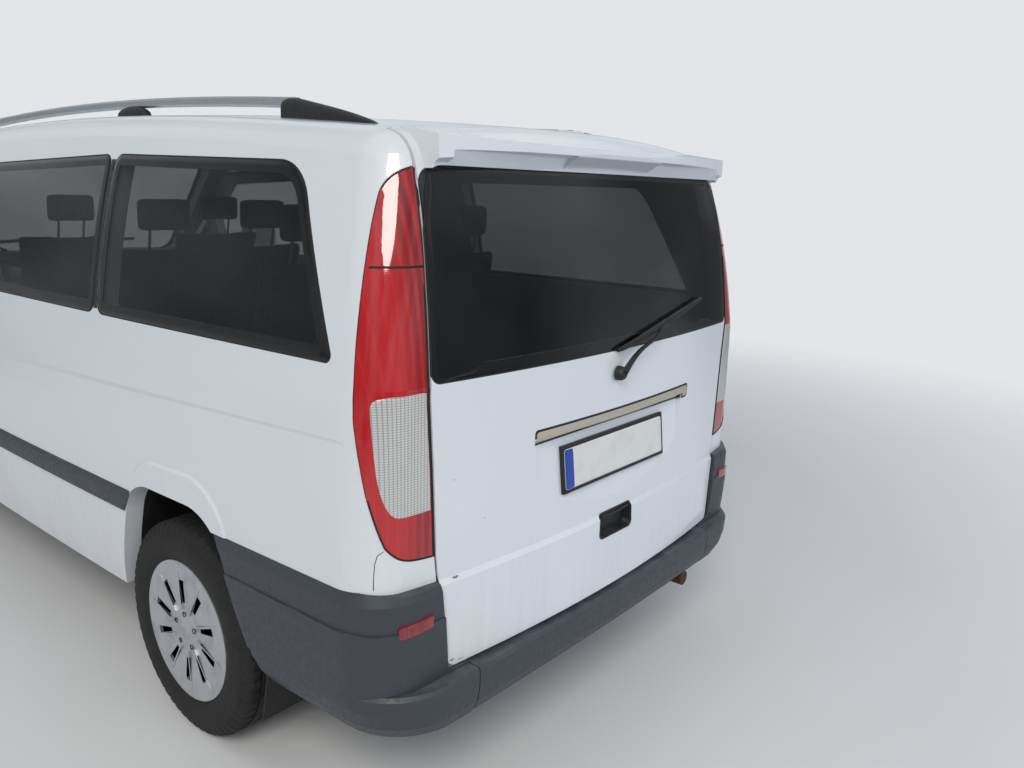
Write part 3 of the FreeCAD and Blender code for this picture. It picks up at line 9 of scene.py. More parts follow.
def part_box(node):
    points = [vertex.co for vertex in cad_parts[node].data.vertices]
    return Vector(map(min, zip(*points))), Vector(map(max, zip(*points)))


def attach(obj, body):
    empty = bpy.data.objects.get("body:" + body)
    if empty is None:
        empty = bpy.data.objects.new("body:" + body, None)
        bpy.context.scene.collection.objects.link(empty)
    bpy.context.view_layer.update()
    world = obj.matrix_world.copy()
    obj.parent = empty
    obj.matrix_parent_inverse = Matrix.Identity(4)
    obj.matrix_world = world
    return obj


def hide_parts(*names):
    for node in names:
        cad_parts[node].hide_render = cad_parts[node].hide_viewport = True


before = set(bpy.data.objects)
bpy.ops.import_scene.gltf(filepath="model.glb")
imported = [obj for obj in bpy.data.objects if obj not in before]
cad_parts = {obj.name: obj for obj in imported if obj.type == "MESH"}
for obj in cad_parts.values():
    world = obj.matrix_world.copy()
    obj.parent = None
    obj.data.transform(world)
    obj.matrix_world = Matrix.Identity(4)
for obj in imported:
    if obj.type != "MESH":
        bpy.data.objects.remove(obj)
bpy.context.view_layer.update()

bl_info = {
    "name": "Minibus dressing",
    "version": (1, 0, 0),
    "blender": (4, 5, 0),
    "location": "View3D > Sidebar > Minibus",
    "description": "Finishes, glass, lamps, trim, tyres and seats of a minibus around its fixed frame",
    "category": "Object",
}

# All places and sizes are in metres unless a name or comment says millimetres.
SIDES = {"left": 1.0, "right": -1.0}
WHEELS = {"fl": (1.63, 0.812), "fr": (1.63, -0.812), "rl": (-1.57, 0.812), "rr": (-1.57, -0.812)}
AXLE_HEIGHT = 0.335
TURN = 2 * math.pi
MM = 0.001
FORWARD, BACKWARD, DOWN, UP = (1, 0, 0), (-1, 0, 0), (0, 0, -1), (0, 0, 1)


def from_x(x):
    """Start points on the crosswise plane at x, for lines that run fore and aft."""
    return lambda y, z: (x, y, z)


def from_side(side):
    """Start points beside the body, for lines that run inwards."""
    return lambda x, z: (x, side * 1.4, z)


BEHIND, BEFORE = from_x(-2.9), from_x(2.9)


# Finishes

def linear(code):
    """An sRGB hex colour as linear red, green, blue and alpha."""
    parts = [int(code[i:i + 2], 16) / 255 for i in (1, 3, 5)]
    return [v / 12.92 if v <= 0.04045 else ((v + 0.055) / 1.055) ** 2.4 for v in parts] + [1.0]


def per_mm(length):
    """Texture scale, in metres of object space, of a pattern that repeats every so many millimetres."""
    return 1000.0 / length


class Nodes:
    """The node tree of a material or a world, emptied and under construction."""

    def __init__(self, owner):
        owner.use_nodes = True
        self.tree = owner.node_tree
        self.tree.nodes.clear()

    def add(self, kind, *values, **settings):
        """Add one shader node: its settings, then its inputs in the editor's order. None leaves one as it is."""
        made = self.tree.nodes.new("ShaderNode" + kind)
        for name, value in settings.items():
            setattr(made, name, value)
        for socket, value in zip([socket for socket in made.inputs if socket.enabled], values):
            self.feed(socket, value)
        return made

    def feed(self, socket, value):
        """Give an input a number, a hex colour, or a link from a socket or from a node's first output."""
        if isinstance(value, bpy.types.Node):
            value = next(output for output in value.outputs if output.enabled)
        if isinstance(value, bpy.types.NodeSocket):
            self.tree.links.new(value, socket)
        elif value is not None:
            socket.default_value = linear(value) if isinstance(value, str) else value


SMOOTH, COLOURS = {"interpolation_type": "SMOOTHSTEP"}, {"data_type": "RGBA"}
TIMES, PLUS, LARGER, POWER = ({"operation": name} for name in ("MULTIPLY", "ADD", "MAXIMUM", "POWER"))
SINE, COSINE, UNSIGNED = ({"operation": name} for name in ("SINE", "COSINE", "ABSOLUTE"))


class Finish(Nodes):
    """One material under construction: a Principled shader and the texture space of its piece."""

    def __init__(self, name, colour, roughness, **inputs):
        self.base = linear(colour) if isinstance(colour, str) else [*colour, 1.0]
        self.material = bpy.data.materials.new(name)
        self.material.diffuse_color = self.base
        super().__init__(self.material)
        self.space = self.add("TexCoord").outputs["Object"]
        self.shader = self.add("BsdfPrincipled")
        self.add("OutputMaterial", self.shader)
        self.set(Base_Color=self.base, Roughness=roughness, **inputs)

    def set(self, **inputs):
        """Feed inputs of the shader, by name."""
        for name, value in inputs.items():
            self.feed(self.shader.inputs[name.replace("_", " ")], value)

    def clouds(self, length, detail, low, high, start=0.0, end=1.0, stretch=None):
        """Soft patches of a given length in millimetres, drawn out by stretch, that run from start to end."""
        space = self.add("Mapping", self.space, None, None, [1 / s for s in stretch]) if stretch else self.space
        cloud = self.add("TexNoise", space, per_mm(length), detail)
        return self.add("MapRange", cloud, low, high, start, end, **SMOOTH)

    def ridges(self, along, length, form=SINE):
        """Waves along a coordinate, one every so many millimetres."""
        return self.add("Math", self.add("Math", along, TURN * per_mm(length), **TIMES), **form)

    def stain(self, amount, share, tint):
        """Lay a second colour over the base colour by an amount, thinned to a share."""
        amount = self.add("Math", amount, share, **TIMES)
        self.set(Base_Color=self.add("Mix", amount, self.base, tint, **COLOURS))

    def relief(self, length, detail, depth, strength):
        """Fine lumps of a given length and depth in millimetres."""
        self.set(Normal=self.add("Bump", strength, depth * MM, None,
                                 self.add("TexNoise", self.space, per_mm(length), detail)))


MAKERS, FINISHES = {}, {}


def maker(function):
    """Register a function that makes the finish of its own name."""
    MAKERS[function.__name__] = function
    return function


def finish(name):
    """A finish by its name, made once."""
    if name not in FINISHES:
        FINISHES[name] = MAKERS[name]()
    return FINISHES[name]


@maker
def white_enamel():
    # Sprayed white enamel under clear lacquer: soft white with sharp small highlights, road film low down
    made = Finish("white_enamel", bpy.context.scene.minibus.paint, 0.42, Coat_Weight=0.85, Coat_Roughness=0.06)
    add = made.add
    low = add("MapRange", add("SeparateXYZ", made.space).outputs["Z"], 0.35, 0.95, 1.0, 0.0, **SMOOTH)
    cloud = add("TexNoise", add("Mapping", made.space, None, None, (1, 1, 1 / 2.2)), per_mm(180), 5.0)
    streak = add("TexNoise", add("Mapping", made.space, None, None, (1, 1, 1 / 9)), per_mm(26), 3.0)
    film = add("MapRange", add("Math", cloud, streak, **TIMES), 0.10, 0.42, **SMOOTH)
    film = add("Math", add("Math", low, film, **TIMES), 0.13, **TIMES)
    soil = add("Mix", film, made.base, "#9a958b", **COLOURS)
    broad = add("Math", made.clouds(900, 2.0, 0.35, 0.7), 0.12, **TIMES)
    made.set(Base_Color=add("Mix", broad, soil, "#d3d9e0", **COLOURS),
             Roughness=add("MapRange", film, 0.0, 0.4, 0.40, 0.62, **SMOOTH))
    made.relief(1.4, 1.0, 0.012, 0.25)
    return made


def grained(name, colour, roughness, grain, depth, dust):
    # Moulded black-grey polypropylene: dull, with a fine leather grain and pale dust on what lies flat
    made = Finish(name, colour, roughness)
    add = made.add
    up = add("SeparateXYZ", add("NewGeometry").outputs["Normal"]).outputs["Z"]
    lying = add("Math", add("MapRange", up, 0.2, 0.95, **SMOOTH), dust, **TIMES)
    cell = add("TexVoronoi", made.space, per_mm(grain), None, None, None, 0.9)
    made.stain(lying, made.clouds(70, 4.0, 0.35, 0.75), "#8d9094")
    made.set(Roughness=made.clouds(12, 3.0, 0.3, 0.7, roughness - 0.06, roughness + 0.08),
             Normal=add("Bump", 0.6, depth * MM, None, cell))
    return made


@maker
def bumper_plastic():
    return grained("bumper_plastic", bpy.context.scene.minibus.bumper, 0.5, 1.6, 0.12, 0.25)


@maker
def trim_plastic():
    return grained("trim_plastic", "#1b1c1e", 0.5, 1.2, 0.08, 0.1)


@maker
def dark_plastic():
    return grained("dark_plastic", "#2a2b2d", 0.6, 1.8, 0.12, 0.12)


def pane(name, colour, alpha):
    # Tinted safety glass: dark and mirror-smooth, the sky lies on it, with a faint dust film
    made = Finish(name, colour, 0.03, Alpha=alpha, IOR=1.52)
    made.set(Roughness=made.clouds(140, 5.0, 0.45, 0.8, 0.03, 0.08))
    return made


@maker
def privacy_glass():
    return pane("privacy_glass", "#0b0d0f", bpy.context.scene.minibus.privacy)


@maker
def clear_glass():
    return pane("clear_glass", "#18201f", 0.30)


def acrylic(name, colour, roughness):
    # Moulded acrylic: deep colour under a smooth, glossy face
    return Finish(name, colour, roughness, Coat_Weight=1.0, Coat_Roughness=0.03, IOR=1.49)


@maker
def red_acrylic():
    # Red acrylic lens: a rich, saturated red with fine optic ribs and upright flutes, with painted shade on its inner
    # part and painted highlights in the flutes
    made = acrylic("red_acrylic", "#b30d16", 0.07)
    add = made.add
    place = add("SeparateXYZ", made.space).outputs
    across = add("Math", place["Y"], **UNSIGNED)
    rib, flute = made.ridges(place["Z"], 4.5), made.ridges(across, 23.0)
    # Painted shade: darker towards the lens's inner edge, in upright bands with the flutes and in soft patches
    inner = add("MapRange", across, 0.740, 0.815, 1.0, 0.10, **SMOOTH)
    painted_shade = add("Math", inner, add("MapRange", flute, -1.0, 0.6, 0.35, 1.0, **SMOOTH), **TIMES)
    painted_shade = add("Math", painted_shade, made.clouds(120, 0.0, 0.35, 0.65, 0.80, 1.0, (1, 1, 3.0)), **TIMES)
    core = add("Mix", add("MapRange", rib, -1.0, 1.0, 0.0, 0.14, **SMOOTH), "#c01019", "#7c050b", **COLOURS)
    # Painted highlight: a pale pink line in each flute
    streak = add("Math", add("MapRange", flute, -0.90, -1.0, **SMOOTH), 0.12, **TIMES)
    lit = add("Mix", streak, core, "#e04a50", **COLOURS)
    # The painted shade pulls the lit colour towards dark red #5e0409
    made.set(Base_Color=add("Mix", add("Math", painted_shade, 0.85, **TIMES), lit, "#5e0409", **COLOURS),
             Normal=add("Bump", 0.2, 0.03 * MM, None, rib))
    return made


@maker
def clear_acrylic():
    # Clear acrylic over a chromed grid: pale grey, bright in the middle of each optic square
    made = acrylic("clear_acrylic", "#b9bcbc", 0.12)
    add = made.add
    place = add("SeparateXYZ", made.space).outputs
    columns, rows = (add("MapRange", made.ridges(place[axis], length, COSINE), -1.0, -0.2, **SMOOTH)
                     for axis, length in (("Y", 9.0), ("Z", 6.0)))
    grid = add("Math", columns, rows, **TIMES)
    made.set(Base_Color=add("Mix", grid, "#9ea2a1", "#cfd1cf", **COLOURS),
             Normal=add("Bump", 0.35, 0.15 * MM, None, grid))
    return made


@maker
def amber_acrylic():
    # Amber acrylic of the front indicators: warm, ribbed, glossy
    made = acrylic("amber_acrylic", "#c9671a", 0.1)
    add = made.add
    rib = made.ridges(add("SeparateXYZ", made.space).outputs["Z"], 5.0)
    share = add("MapRange", rib, -1.0, 1.0, 0.0, 0.5, **SMOOTH)
    made.set(Base_Color=add("Mix", share, "#d0731f", "#8f4009", **COLOURS),
             Normal=add("Bump", 0.4, 0.15 * MM, None, rib))
    return made


def celled(made, length, randomness, high, colours, depth, strength):
    # Facets of one size, with a second colour towards their edges
    cell = made.add("TexVoronoi", made.space, per_mm(length), None, None, None, randomness)
    share = made.add("MapRange", cell, 0.1, high, **SMOOTH)
    made.set(Base_Color=made.add("Mix", share, *colours, **COLOURS),
             Normal=made.add("Bump", strength, depth * MM, None, cell))
    return made


@maker
def reflector_red():
    # Red reflex reflector: small prisms under smooth acrylic
    made = acrylic("reflector_red", "#a5121a", 0.12)
    return celled(made, 4.0, 0.0, 0.6, ("#b81820", "#6d070d"), 0.4, 0.4)


@maker
def lamp_bright():
    # Aluminised lamp bowl under its lens: mirror-bright, with shallow facets
    made = Finish("lamp_bright", "#c9ced2", 0.12, Metallic=1.0, Coat_Weight=1.0, Coat_Roughness=0.03)
    return celled(made, 12.0, 1.0, 0.7, ("#d3d8dc", "#8d949a"), 0.3, 0.3)


@maker
def tyre_rubber():
    # Worn carbon-black rubber: dark warm grey, dull, with brown dust in patches
    made = Finish("tyre_rubber", "#19191a", 0.7)
    made.stain(made.clouds(90, 3.0, 0.4, 0.8), 0.12, "#4a463f")
    made.set(Roughness=made.clouds(4, 3.0, 0.3, 0.7, 0.72, 0.9))
    made.relief(4, 3.0, 0.25, 0.5)
    return made


@maker
def silver_plastic():
    # Silver-painted wheel cover: fine metal flake under thin lacquer, brake dust in patches on its face, and the
    # slots' floors and walls drawn near-black as painted shade
    made = Finish("silver_plastic", "#b7bac0", 0.34, Metallic=0.65, Coat_Weight=0.35, Coat_Roughness=0.15)
    add = made.add
    spot = add("SeparateXYZ", made.space).outputs
    side = add("Math", spot["Y"], **UNSIGNED)
    # Painted shade: what lies below the cover's face, in the slots, turns near-black
    sunk_shade = add("Math", add("MapRange", side, 0.8968, 0.8980, 1.0, 0.0, **SMOOTH),
               add("MapRange", side, 0.80, 0.81, **SMOOTH), **TIMES)
    # Distance from the nearest axle: front and rear axles lie 1.6 m on either side of x = 0.03
    along = add("Math", add("Math", add("Math", spot["X"], -0.03, **PLUS), **UNSIGNED), -1.6, **PLUS)
    high = add("Math", spot["Z"], -AXLE_HEIGHT, **PLUS)
    square = add("Math", add("Math", along, along, **TIMES), add("Math", high, high, **TIMES), **PLUS)
    radius = add("Math", square, 0.5, **POWER)
    # Painted shade: walls that do not face sideways, between the hub and the rim, turn near-black
    upright = add("SeparateXYZ", add("TexCoord").outputs["Normal"]).outputs["Y"]
    wall = add("MapRange", add("Math", upright, **UNSIGNED), 0.20, 0.35, 1.0, 0.0, **SMOOTH)
    wall = add("Math", wall, add("MapRange", radius, 0.082, 0.088, **SMOOTH), **TIMES)
    wall = add("Math", wall, add("MapRange", radius, 0.158, 0.164, 1.0, 0.0, **SMOOTH), **TIMES)
    dust = add("Math", made.clouds(60, 5.0, 0.42, 0.75), 0.35, **TIMES)
    face = add("Mix", dust, made.base, "#77736c", **COLOURS)
    # The painted shade of the slots is mixed in here as near-black #111112
    made.set(Base_Color=add("Mix", add("Math", sunk_shade, wall, **LARGER), face, "#111112", **COLOURS))
    made.relief(1.0, 1.0, 0.01, 0.3)
    return made


@maker
def anodised():
    # Anodised aluminium rail: bright satin metal with drawing lines along the bar
    made = Finish("anodised", "#c9cccf", 0.3, Metallic=1.0)
    line = made.add("TexNoise", made.add("Mapping", made.space, None, None, (1 / 120, 1, 1)), per_mm(3), 2.0)
    made.set(Roughness=made.add("MapRange", line, 0.3, 0.7, 0.24, 0.4, **SMOOTH),
             Normal=made.add("Bump", 0.3, 0.01 * MM, None, line))
    return made


@maker
def chassis_black():
    # Black underbody paint: dull, with brown-grey road grime in patches below the floor
    made = Finish("chassis_black", "#17181a", 0.62)
    height = made.add("SeparateXYZ", made.space).outputs["Z"]
    grime = made.add("MapRange", height, 0.50, 0.55, 0.6, 0.08, **SMOOTH)
    made.stain(made.clouds(80, 6.0, 0.4, 0.7), grime, "#4b443b")
    made.relief(6, 4.0, 0.3, 0.5)
    return made


@maker
def cast_iron():
    # Sand-cast iron: grey-brown, rough, with rust in the hollows
    made = Finish("cast_iron", "#4a4744", 0.7, Metallic=0.7)
    made.stain(made.clouds(50, 6.0, 0.4, 0.7), 1.0, "#5d3b28")
    made.relief(3, 4.0, 0.4, 0.7)
    return made


@maker
def woven_cloth():
    # Grey woven upholstery: matt, with a crossing weave drawn at 3 mm so that it shows, and a soft sheen
    made = Finish("woven_cloth", "#54575b", 0.92, Sheen_Weight=0.35, Sheen_Roughness=0.5)
    add = made.add
    place = add("SeparateXYZ", made.space).outputs
    warp = made.ridges(place["Y"], 3.0)
    weft = made.ridges(add("Math", place["X"], place["Z"], **PLUS), 3.0)
    made.set(Base_Color=add("Mix", made.clouds(9, 3.0, 0.4, 0.65), "#45484d", "#676b70", **COLOURS),
             Normal=add("Bump", 0.6, 0.25 * MM, None, add("Math", warp, weft, **TIMES)))
    return made


@maker
def ceramic_border():
    # Black ceramic print on the rim of the glass: opaque, smooth, nearly as glossy as the pane
    made = Finish("ceramic_border", "#0d0c0c", 0.14)
    made.set(Roughness=made.clouds(60, 3.0, 0.3, 0.7, 0.12, 0.22))
    return made


@maker
def black_rubber():
    # Black weather-strip rubber: dull black with a greyish bloom
    made = Finish("black_rubber", "#131313", 0.68)
    made.stain(made.clouds(30, 4.0, 0.4, 0.8), 0.4, "#303132")
    made.relief(2, 2.0, 0.05, 0.4)
    return made


@maker
def bright_trim():
    # Satin plated trim strip: pale warm metal
    made = Finish("bright_trim", "#cbc5b8", 0.42, Metallic=0.6)
    made.set(Roughness=made.clouds(20, 3.0, 0.3, 0.7, 0.36, 0.5, (1, 12, 1)))
    return made


@maker
def plate_white():
    # Reflective white plate film: flat white with a faint bead texture
    made = Finish("plate_white", "#dcdedd", 0.4, Coat_Weight=0.4, Coat_Roughness=0.1)
    made.stain(made.clouds(50, 4.0, 0.4, 0.8), 0.3, "#c0beb6")
    made.relief(0.8, 1.0, 0.02, 0.3)
    return made


@maker
def plate_blue():
    # Blue printed band of the plate film: even and slightly glossy
    made = Finish("plate_blue", "#16389b", 0.4, Coat_Weight=0.4, Coat_Roughness=0.1)
    made.stain(made.clouds(30, 3.0, 0.3, 0.7), 1.0, "#1c42a6")
    return made


@maker
def mirror_silver():
    # Silvered mirror glass: bright, sharp reflections with faint smears
    made = Finish("mirror_silver", "#dfe3e6", 0.02, Metallic=1.0)
    made.set(Roughness=made.clouds(40, 3.0, 0.4, 0.7, 0.01, 0.04))
    return made


@maker
def bare_primer():
    # Grey primer and dirt where a chip has broken the paint: dull and patchy
    made = Finish("bare_primer", "#8b8e92", 0.7)
    made.set(Base_Color=made.add("Mix", made.clouds(4, 3.0, 0.35, 0.65), "#9a9da1", "#6b6864", **COLOURS))
    made.relief(1.5, 3.0, 0.05, 0.6)
    return made


NODE_FINISH = {
    "white_enamel": ["side_left", "side_right", "roof_panel", "sliding_door", "cowl", "front_wings", "tailgate",
                     "front_door_left", "front_door_right", "bonnet", "mirror_left", "mirror_right"],
    "privacy_glass": ["side_glass", "sliding_door_glass", "tailgate_glass"],
    "clear_glass": ["windscreen", "door_glass_left", "door_glass_right"],
    "red_acrylic": ["tail_lamps"],
    "clear_acrylic": ["headlamps"],
    "bumper_plastic": ["rear_bumper_centre", "rear_bumper_corners", "front_bumper"],
    "trim_plastic": ["grille", "rail_feet", "rear_plate", "rear_wiper"],
    "black_rubber": ["mud_flaps"],
    "dark_plastic": ["dashboard", "steering_wheel"],
    "chassis_black": ["floor_pan", "front_frame", "front_subframe", "rear_subframe", "drive_line", "fuel_tank",
                      "engine_mounts", "knuckle_left", "knuckle_right"],
    "cast_iron": ["engine_block", "exhaust"],
    "woven_cloth": ["seat_driver", "seat_passenger", "bench_middle", "bench_rear"],
    "anodised": ["roof_rails"],
    "tyre_rubber": ["tyre_fl", "tyre_fr", "tyre_rl", "tyre_rr"],
    "silver_plastic": ["wheel_fl", "wheel_fr", "wheel_rl", "wheel_rr"],
}


class BUS_OT_finishes(bpy.types.Operator):
    """Give every carried-over piece its material"""
    bl_idname = "minibus.finishes"
    bl_label = "Finishes"

    def execute(self, context):
        FINISHES.clear()
        for name, nodes in NODE_FINISH.items():
            for node in nodes:
                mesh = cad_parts[node].data
                mesh.materials.clear()
                mesh.materials.append(finish(name).material)
        return {"FINISHED"}


# Studio

LAMPS = [
    # name, position, aim, diameter, power in watts, colour
    ("key", (-6.5, 6.0, 6.5), (-0.5, 0.2, 0.9), 4.0, 420.0, "#fffaf2"),
    ("fill", (-7.5, -3.0, 3.0), (-1.5, 0.0, 0.9), 4.5, 120.0, "#eef4ff"),
    ("front", (7.0, 3.5, 5.0), (1.0, 0.0, 0.9), 4.5, 160.0, "#ffffff"),
]
EYE = (-3.7675, 2.0399, 1.6326)
EYE_TURN = (-50.164, -12.811, 1.2734)  # yaw, pitch and roll in degrees
EYE_LENS = 29.43  # focal length in mm on a sensor 36 mm wide


class BUS_OT_stage(bpy.types.Operator):
    """Place the pale studio, its lamps and the camera at the photo's viewpoint"""
    bl_idname = "minibus.stage"
    bl_label = "Studio and camera"

    def execute(self, context):
        scene = context.scene
        for name in ("Cube", "Light", "Camera"):
            if name in bpy.data.objects:
                bpy.data.objects.remove(bpy.data.objects[name])
        scene.camera = self.camera(scene)
        for name, spot, aim, size, power, colour in LAMPS:
            lamp = bpy.data.lights.new(name, "AREA")
            lamp.shape, lamp.size, lamp.energy, lamp.color = "DISK", size, power, linear(colour)[:3]
            held = bpy.data.objects.new(name, lamp)
            held.location = spot
            held.rotation_euler = (Vector(aim) - Vector(spot)).to_track_quat("-Z", "Y").to_euler()
            held.visible_glossy = name == "key"
            scene.collection.objects.link(held)
        scene.world = self.sky()
        self.floor()
        scene.view_settings.view_transform = "Standard"
        scene.view_settings.look = "None"
        scene.view_settings.exposure = 0.0
        scene.view_settings.gamma = 1.0
        return {"FINISHED"}

    def camera(self, scene):
        """The camera at the photo's viewpoint."""
        yaw, pitch, roll = (math.radians(a) for a in EYE_TURN)
        ahead = Vector((math.cos(yaw) * math.cos(pitch), math.sin(yaw) * math.cos(pitch), math.sin(pitch)))
        across = Vector((math.sin(yaw), -math.cos(yaw), 0))
        over = across.cross(ahead)
        right = math.cos(roll) * across + math.sin(roll) * over
        up = -math.sin(roll) * across + math.cos(roll) * over
        eye = bpy.data.objects.new("camera", bpy.data.cameras.new("camera"))
        eye.matrix_world = Matrix.Translation(EYE) @ Matrix((right, up, -ahead)).transposed().to_4x4()
        eye.data.lens, eye.data.sensor_width, eye.data.clip_start = EYE_LENS, 36.0, 0.05
        scene.collection.objects.link(eye)
        return eye

    def sky(self):
        """An even pale backdrop that lights like an overcast sky, patchy in what glossy pieces mirror."""
        world = bpy.data.worlds.new("sky")
        add = Nodes(world).add
        path = add("LightPath").outputs
        way = add("TexCoord").outputs["Generated"]
        seen = add("Math", path["Is Camera Ray"], path["Is Transmission Ray"], **LARGER)
        height = add("MapRange", add("SeparateXYZ", way).outputs["Z"], -0.1, 0.9, 0.62, 1.0)
        patchy = add("MapRange", add("TexNoise", way, 2.2, 3.0), 0.38, 0.62, 0.35, 1.15)
        level = add("Math", height, add("Mix", path["Is Glossy Ray"], 1.0, patchy), **TIMES)
        level = add("Math", level, add("MapRange", path["Is Diffuse Ray"], 0.0, 1.0, 1.0, 0.5), **TIMES)
        mixed = add("MixShader", seen, add("Background", "#dfe5ec", level), add("Background", "#e3e5e8", 1.0))
        add("OutputWorld", mixed)
        return world

    def floor(self):
        """A round pale floor that fades into the backdrop between 3.4 and 7.5 m from its middle."""
        count, radius = 96, 16.0
        edge = [(radius * math.cos(TURN * i / count), radius * math.sin(TURN * i / count), 0.0) for i in range(count)]
        floor = mesh_object("studio_floor", edge, [tuple(range(count))])
        made = Finish("studio_floor", "#e2e3e4", 0.9, Specular_IOR_Level=0.15)
        made.stain(made.clouds(700, 6.0, 0.3, 0.8), 0.12, "#d2d1ce")
        far = made.add("VectorMath", made.space, operation="LENGTH")
        made.set(Alpha=made.add("MapRange", far, 3.4, 7.5, 1.0, 0.0))
        floor.data.materials.append(made.material)


# Shapes

def mesh_object(name, points, faces):
    """A new object in the scene from points and faces."""
    mesh = bpy.data.meshes.new(name)
    mesh.from_pydata([tuple(p) for p in points], [], faces)
    mesh.validate()
    made = bpy.data.objects.new(name, mesh)
    bpy.context.scene.collection.objects.link(made)
    return made


def outward(mesh, way, share=0.6):
    """The faces of a carried-over mesh that look a given way, in groups, one per face of its solid."""
    root = list(range(len(mesh.vertices)))

    def find(i):
        while root[i] != i:
            root[i] = root[root[i]]
            i = root[i]
        return i

    for edge in mesh.edges:
        a, b = (find(i) for i in edge.vertices)
        root[a] = b
    groups = {}
    for face in mesh.polygons:
        groups.setdefault(find(face.vertices[0]), []).append(face)
    found = []
    way = Vector(way)
    for faces in groups.values():
        lean = sum((f.normal * f.area for f in faces), Vector())
        middle = sum((f.center * f.area for f in faces), Vector())
        if lean.length > 0 and middle.dot(way) > 0 and lean.normalized().dot(way.normalized()) > share:
            found.append((sum(f.area for f in faces), faces))
    found.sort(key=lambda group: -group[0])
    return found


def rim(mesh, faces):
    """The longest closed outline of a set of faces, as points in order."""
    spot = {}
    uses = {}
    for face in faces:
        ring = [spot.setdefault(tuple(round(c, 5) for c in mesh.vertices[i].co), len(spot)) for i in face.vertices]
        for a, b in zip(ring, ring[1:] + ring[:1]):
            uses.setdefault((min(a, b), max(a, b)), []).append((a, b))
    step = {}
    for pairs in uses.values():
        if len(pairs) == 1:
            step.setdefault(pairs[0][0], []).append(pairs[0][1])
    points = {i: Vector(p) for p, i in spot.items()}
    best, size = [], 0.0
    while step:
        start = next(iter(step))
        loop, here = [start], start
        while here in step:
            after = step[here].pop()
            if not step[here]:
                del step[here]
            if after == start:
                break
            loop.append(after)
            here = after
        length = sum((points[a] - points[b]).length for a, b in zip(loop, loop[1:] + loop[:1]))
        if length > size:
            best, size = loop, length
    return [points[i] for i in best]


def spaced(loop, gap=0.03):
    """The same closed line with its long runs divided and its shortest steps dropped."""
    out = []
    for a, b in zip(loop, loop[1:] + loop[:1]):
        if (b - a).length < 0.0012:
            continue
        count = max(1, math.ceil((b - a).length / gap))
        out += [a.lerp(b, k / count) for k in range(count)]
    return out


class Skin:
    """The surface of carried-over pieces, to lay other pieces on."""

    def __init__(self, *nodes):
        points, faces = [], []
        for name in nodes:
            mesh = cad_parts[name].data
            base = len(points)
            points += [v.co.copy() for v in mesh.vertices]
            faces += [[base + i for i in f.vertices] for f in mesh.polygons]
        self.tree = BVHTree.FromPolygons(points, faces)

    def near(self, point):
        """The nearest point of the skin and the normal there."""
        return self.tree.find_nearest(point)[:2]

    def along(self, start, way):
        """Where a line meets the skin first, and the normal there, turned towards the start."""
        way = Vector(way).normalized()
        spot, normal, _, _ = self.tree.ray_cast(Vector(start), way)
        if spot is None:
            return None, None
        return spot, (normal if normal.dot(way) < 0 else -normal)


class Level:
    """A skin taken at one height only and drawn straight down from there, to lay a flat plate across a step."""

    def __init__(self, skin, start, height):
        self.skin, self.start, self.height = skin, start, height

    def along(self, start, way):
        """Where the line would meet the skin at this height, moved to the line's own height."""
        spot, normal = self.skin.along(self.start(start[1], self.height), way)
        if spot is None:
            return None, None
        return Vector((spot.x, spot.y, start[2])), Vector((normal.x, normal.y, 0.0)).normalized()


def outside(made):
    """Make the normals of a piece's closed shells point outwards."""
    work = bmesh.new()
    work.from_mesh(made.data)
    bmesh.ops.remove_doubles(work, verts=work.verts, dist=1e-6)
    bmesh.ops.recalc_face_normals(work, faces=work.faces)
    work.to_mesh(made.data)
    work.free()
    return made


def dress(made, look, body, angle=35.0):
    """Give a new piece its material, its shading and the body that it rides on."""
    made.data.materials.append(finish(look).material)
    for face in made.data.polygons:
        face.use_smooth = True
    made.data.set_sharp_from_angle(angle=math.radians(angle))
    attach(made, body)
    return made


def grid_faces(rows, cols, wrap_rows=False, wrap_cols=False):
    """Quads of a grid of points listed row by row."""
    faces = []
    for i in range(rows if wrap_rows else rows - 1):
        for j in range(cols if wrap_cols else cols - 1):
            above, beside = (i + 1) % rows * cols, (j + 1) % cols
            faces.append((i * cols + j, i * cols + beside, above + beside, above + j))
    return faces


def lofted(name, rows, first=False, last=True):
    """A surface through rings of points, covered at its first or last ring."""
    count = len(rows[0])
    points = [p for row in rows for p in row]
    faces = grid_faces(len(rows), count, wrap_cols=True)
    if first:
        faces.append(tuple(range(count)))
    if last:
        faces.append(tuple(range(len(points) - count, len(points))))
    return mesh_object(name, points, faces)


def ringed(count, place, rows):
    """Rings of points: place(out, rise, cosine, sine) at equal steps of a turn, for each row's two sizes."""
    turns = [TURN * k / count for k in range(count)]
    return [[place(out, rise, math.cos(a), math.sin(a)) for a in turns] for out, rise in rows]


def band(name, loop, profile, skin):
    """A band round a closed line on a skin. The profile lists (outwards, height) in millimetres."""
    count = len(loop)
    centre = sum(loop, Vector()) / count
    points = []
    for i, here in enumerate(loop):
        normal = skin.near(here)[1]
        run = (loop[(i + 1) % count] - loop[i - 1]).normalized()
        inner = skin.near(here.lerp(centre, 0.02))[1]
        normal = inner if abs(inner.dot(run)) < 0.5 else normal
        side = run.cross(normal).normalized()
        if side.dot(here - centre) < 0:
            side = -side
        for out, height in profile:
            spot, lift = here + side * out / 1000, normal
            if out < -4:
                spot, lift = skin.near(spot)
                lift = lift if lift.dot(normal) >= 0.3 else normal
            points.append(spot + lift * height / 1000)
    return mesh_object(name, points, grid_faces(count, len(profile), wrap_rows=True))


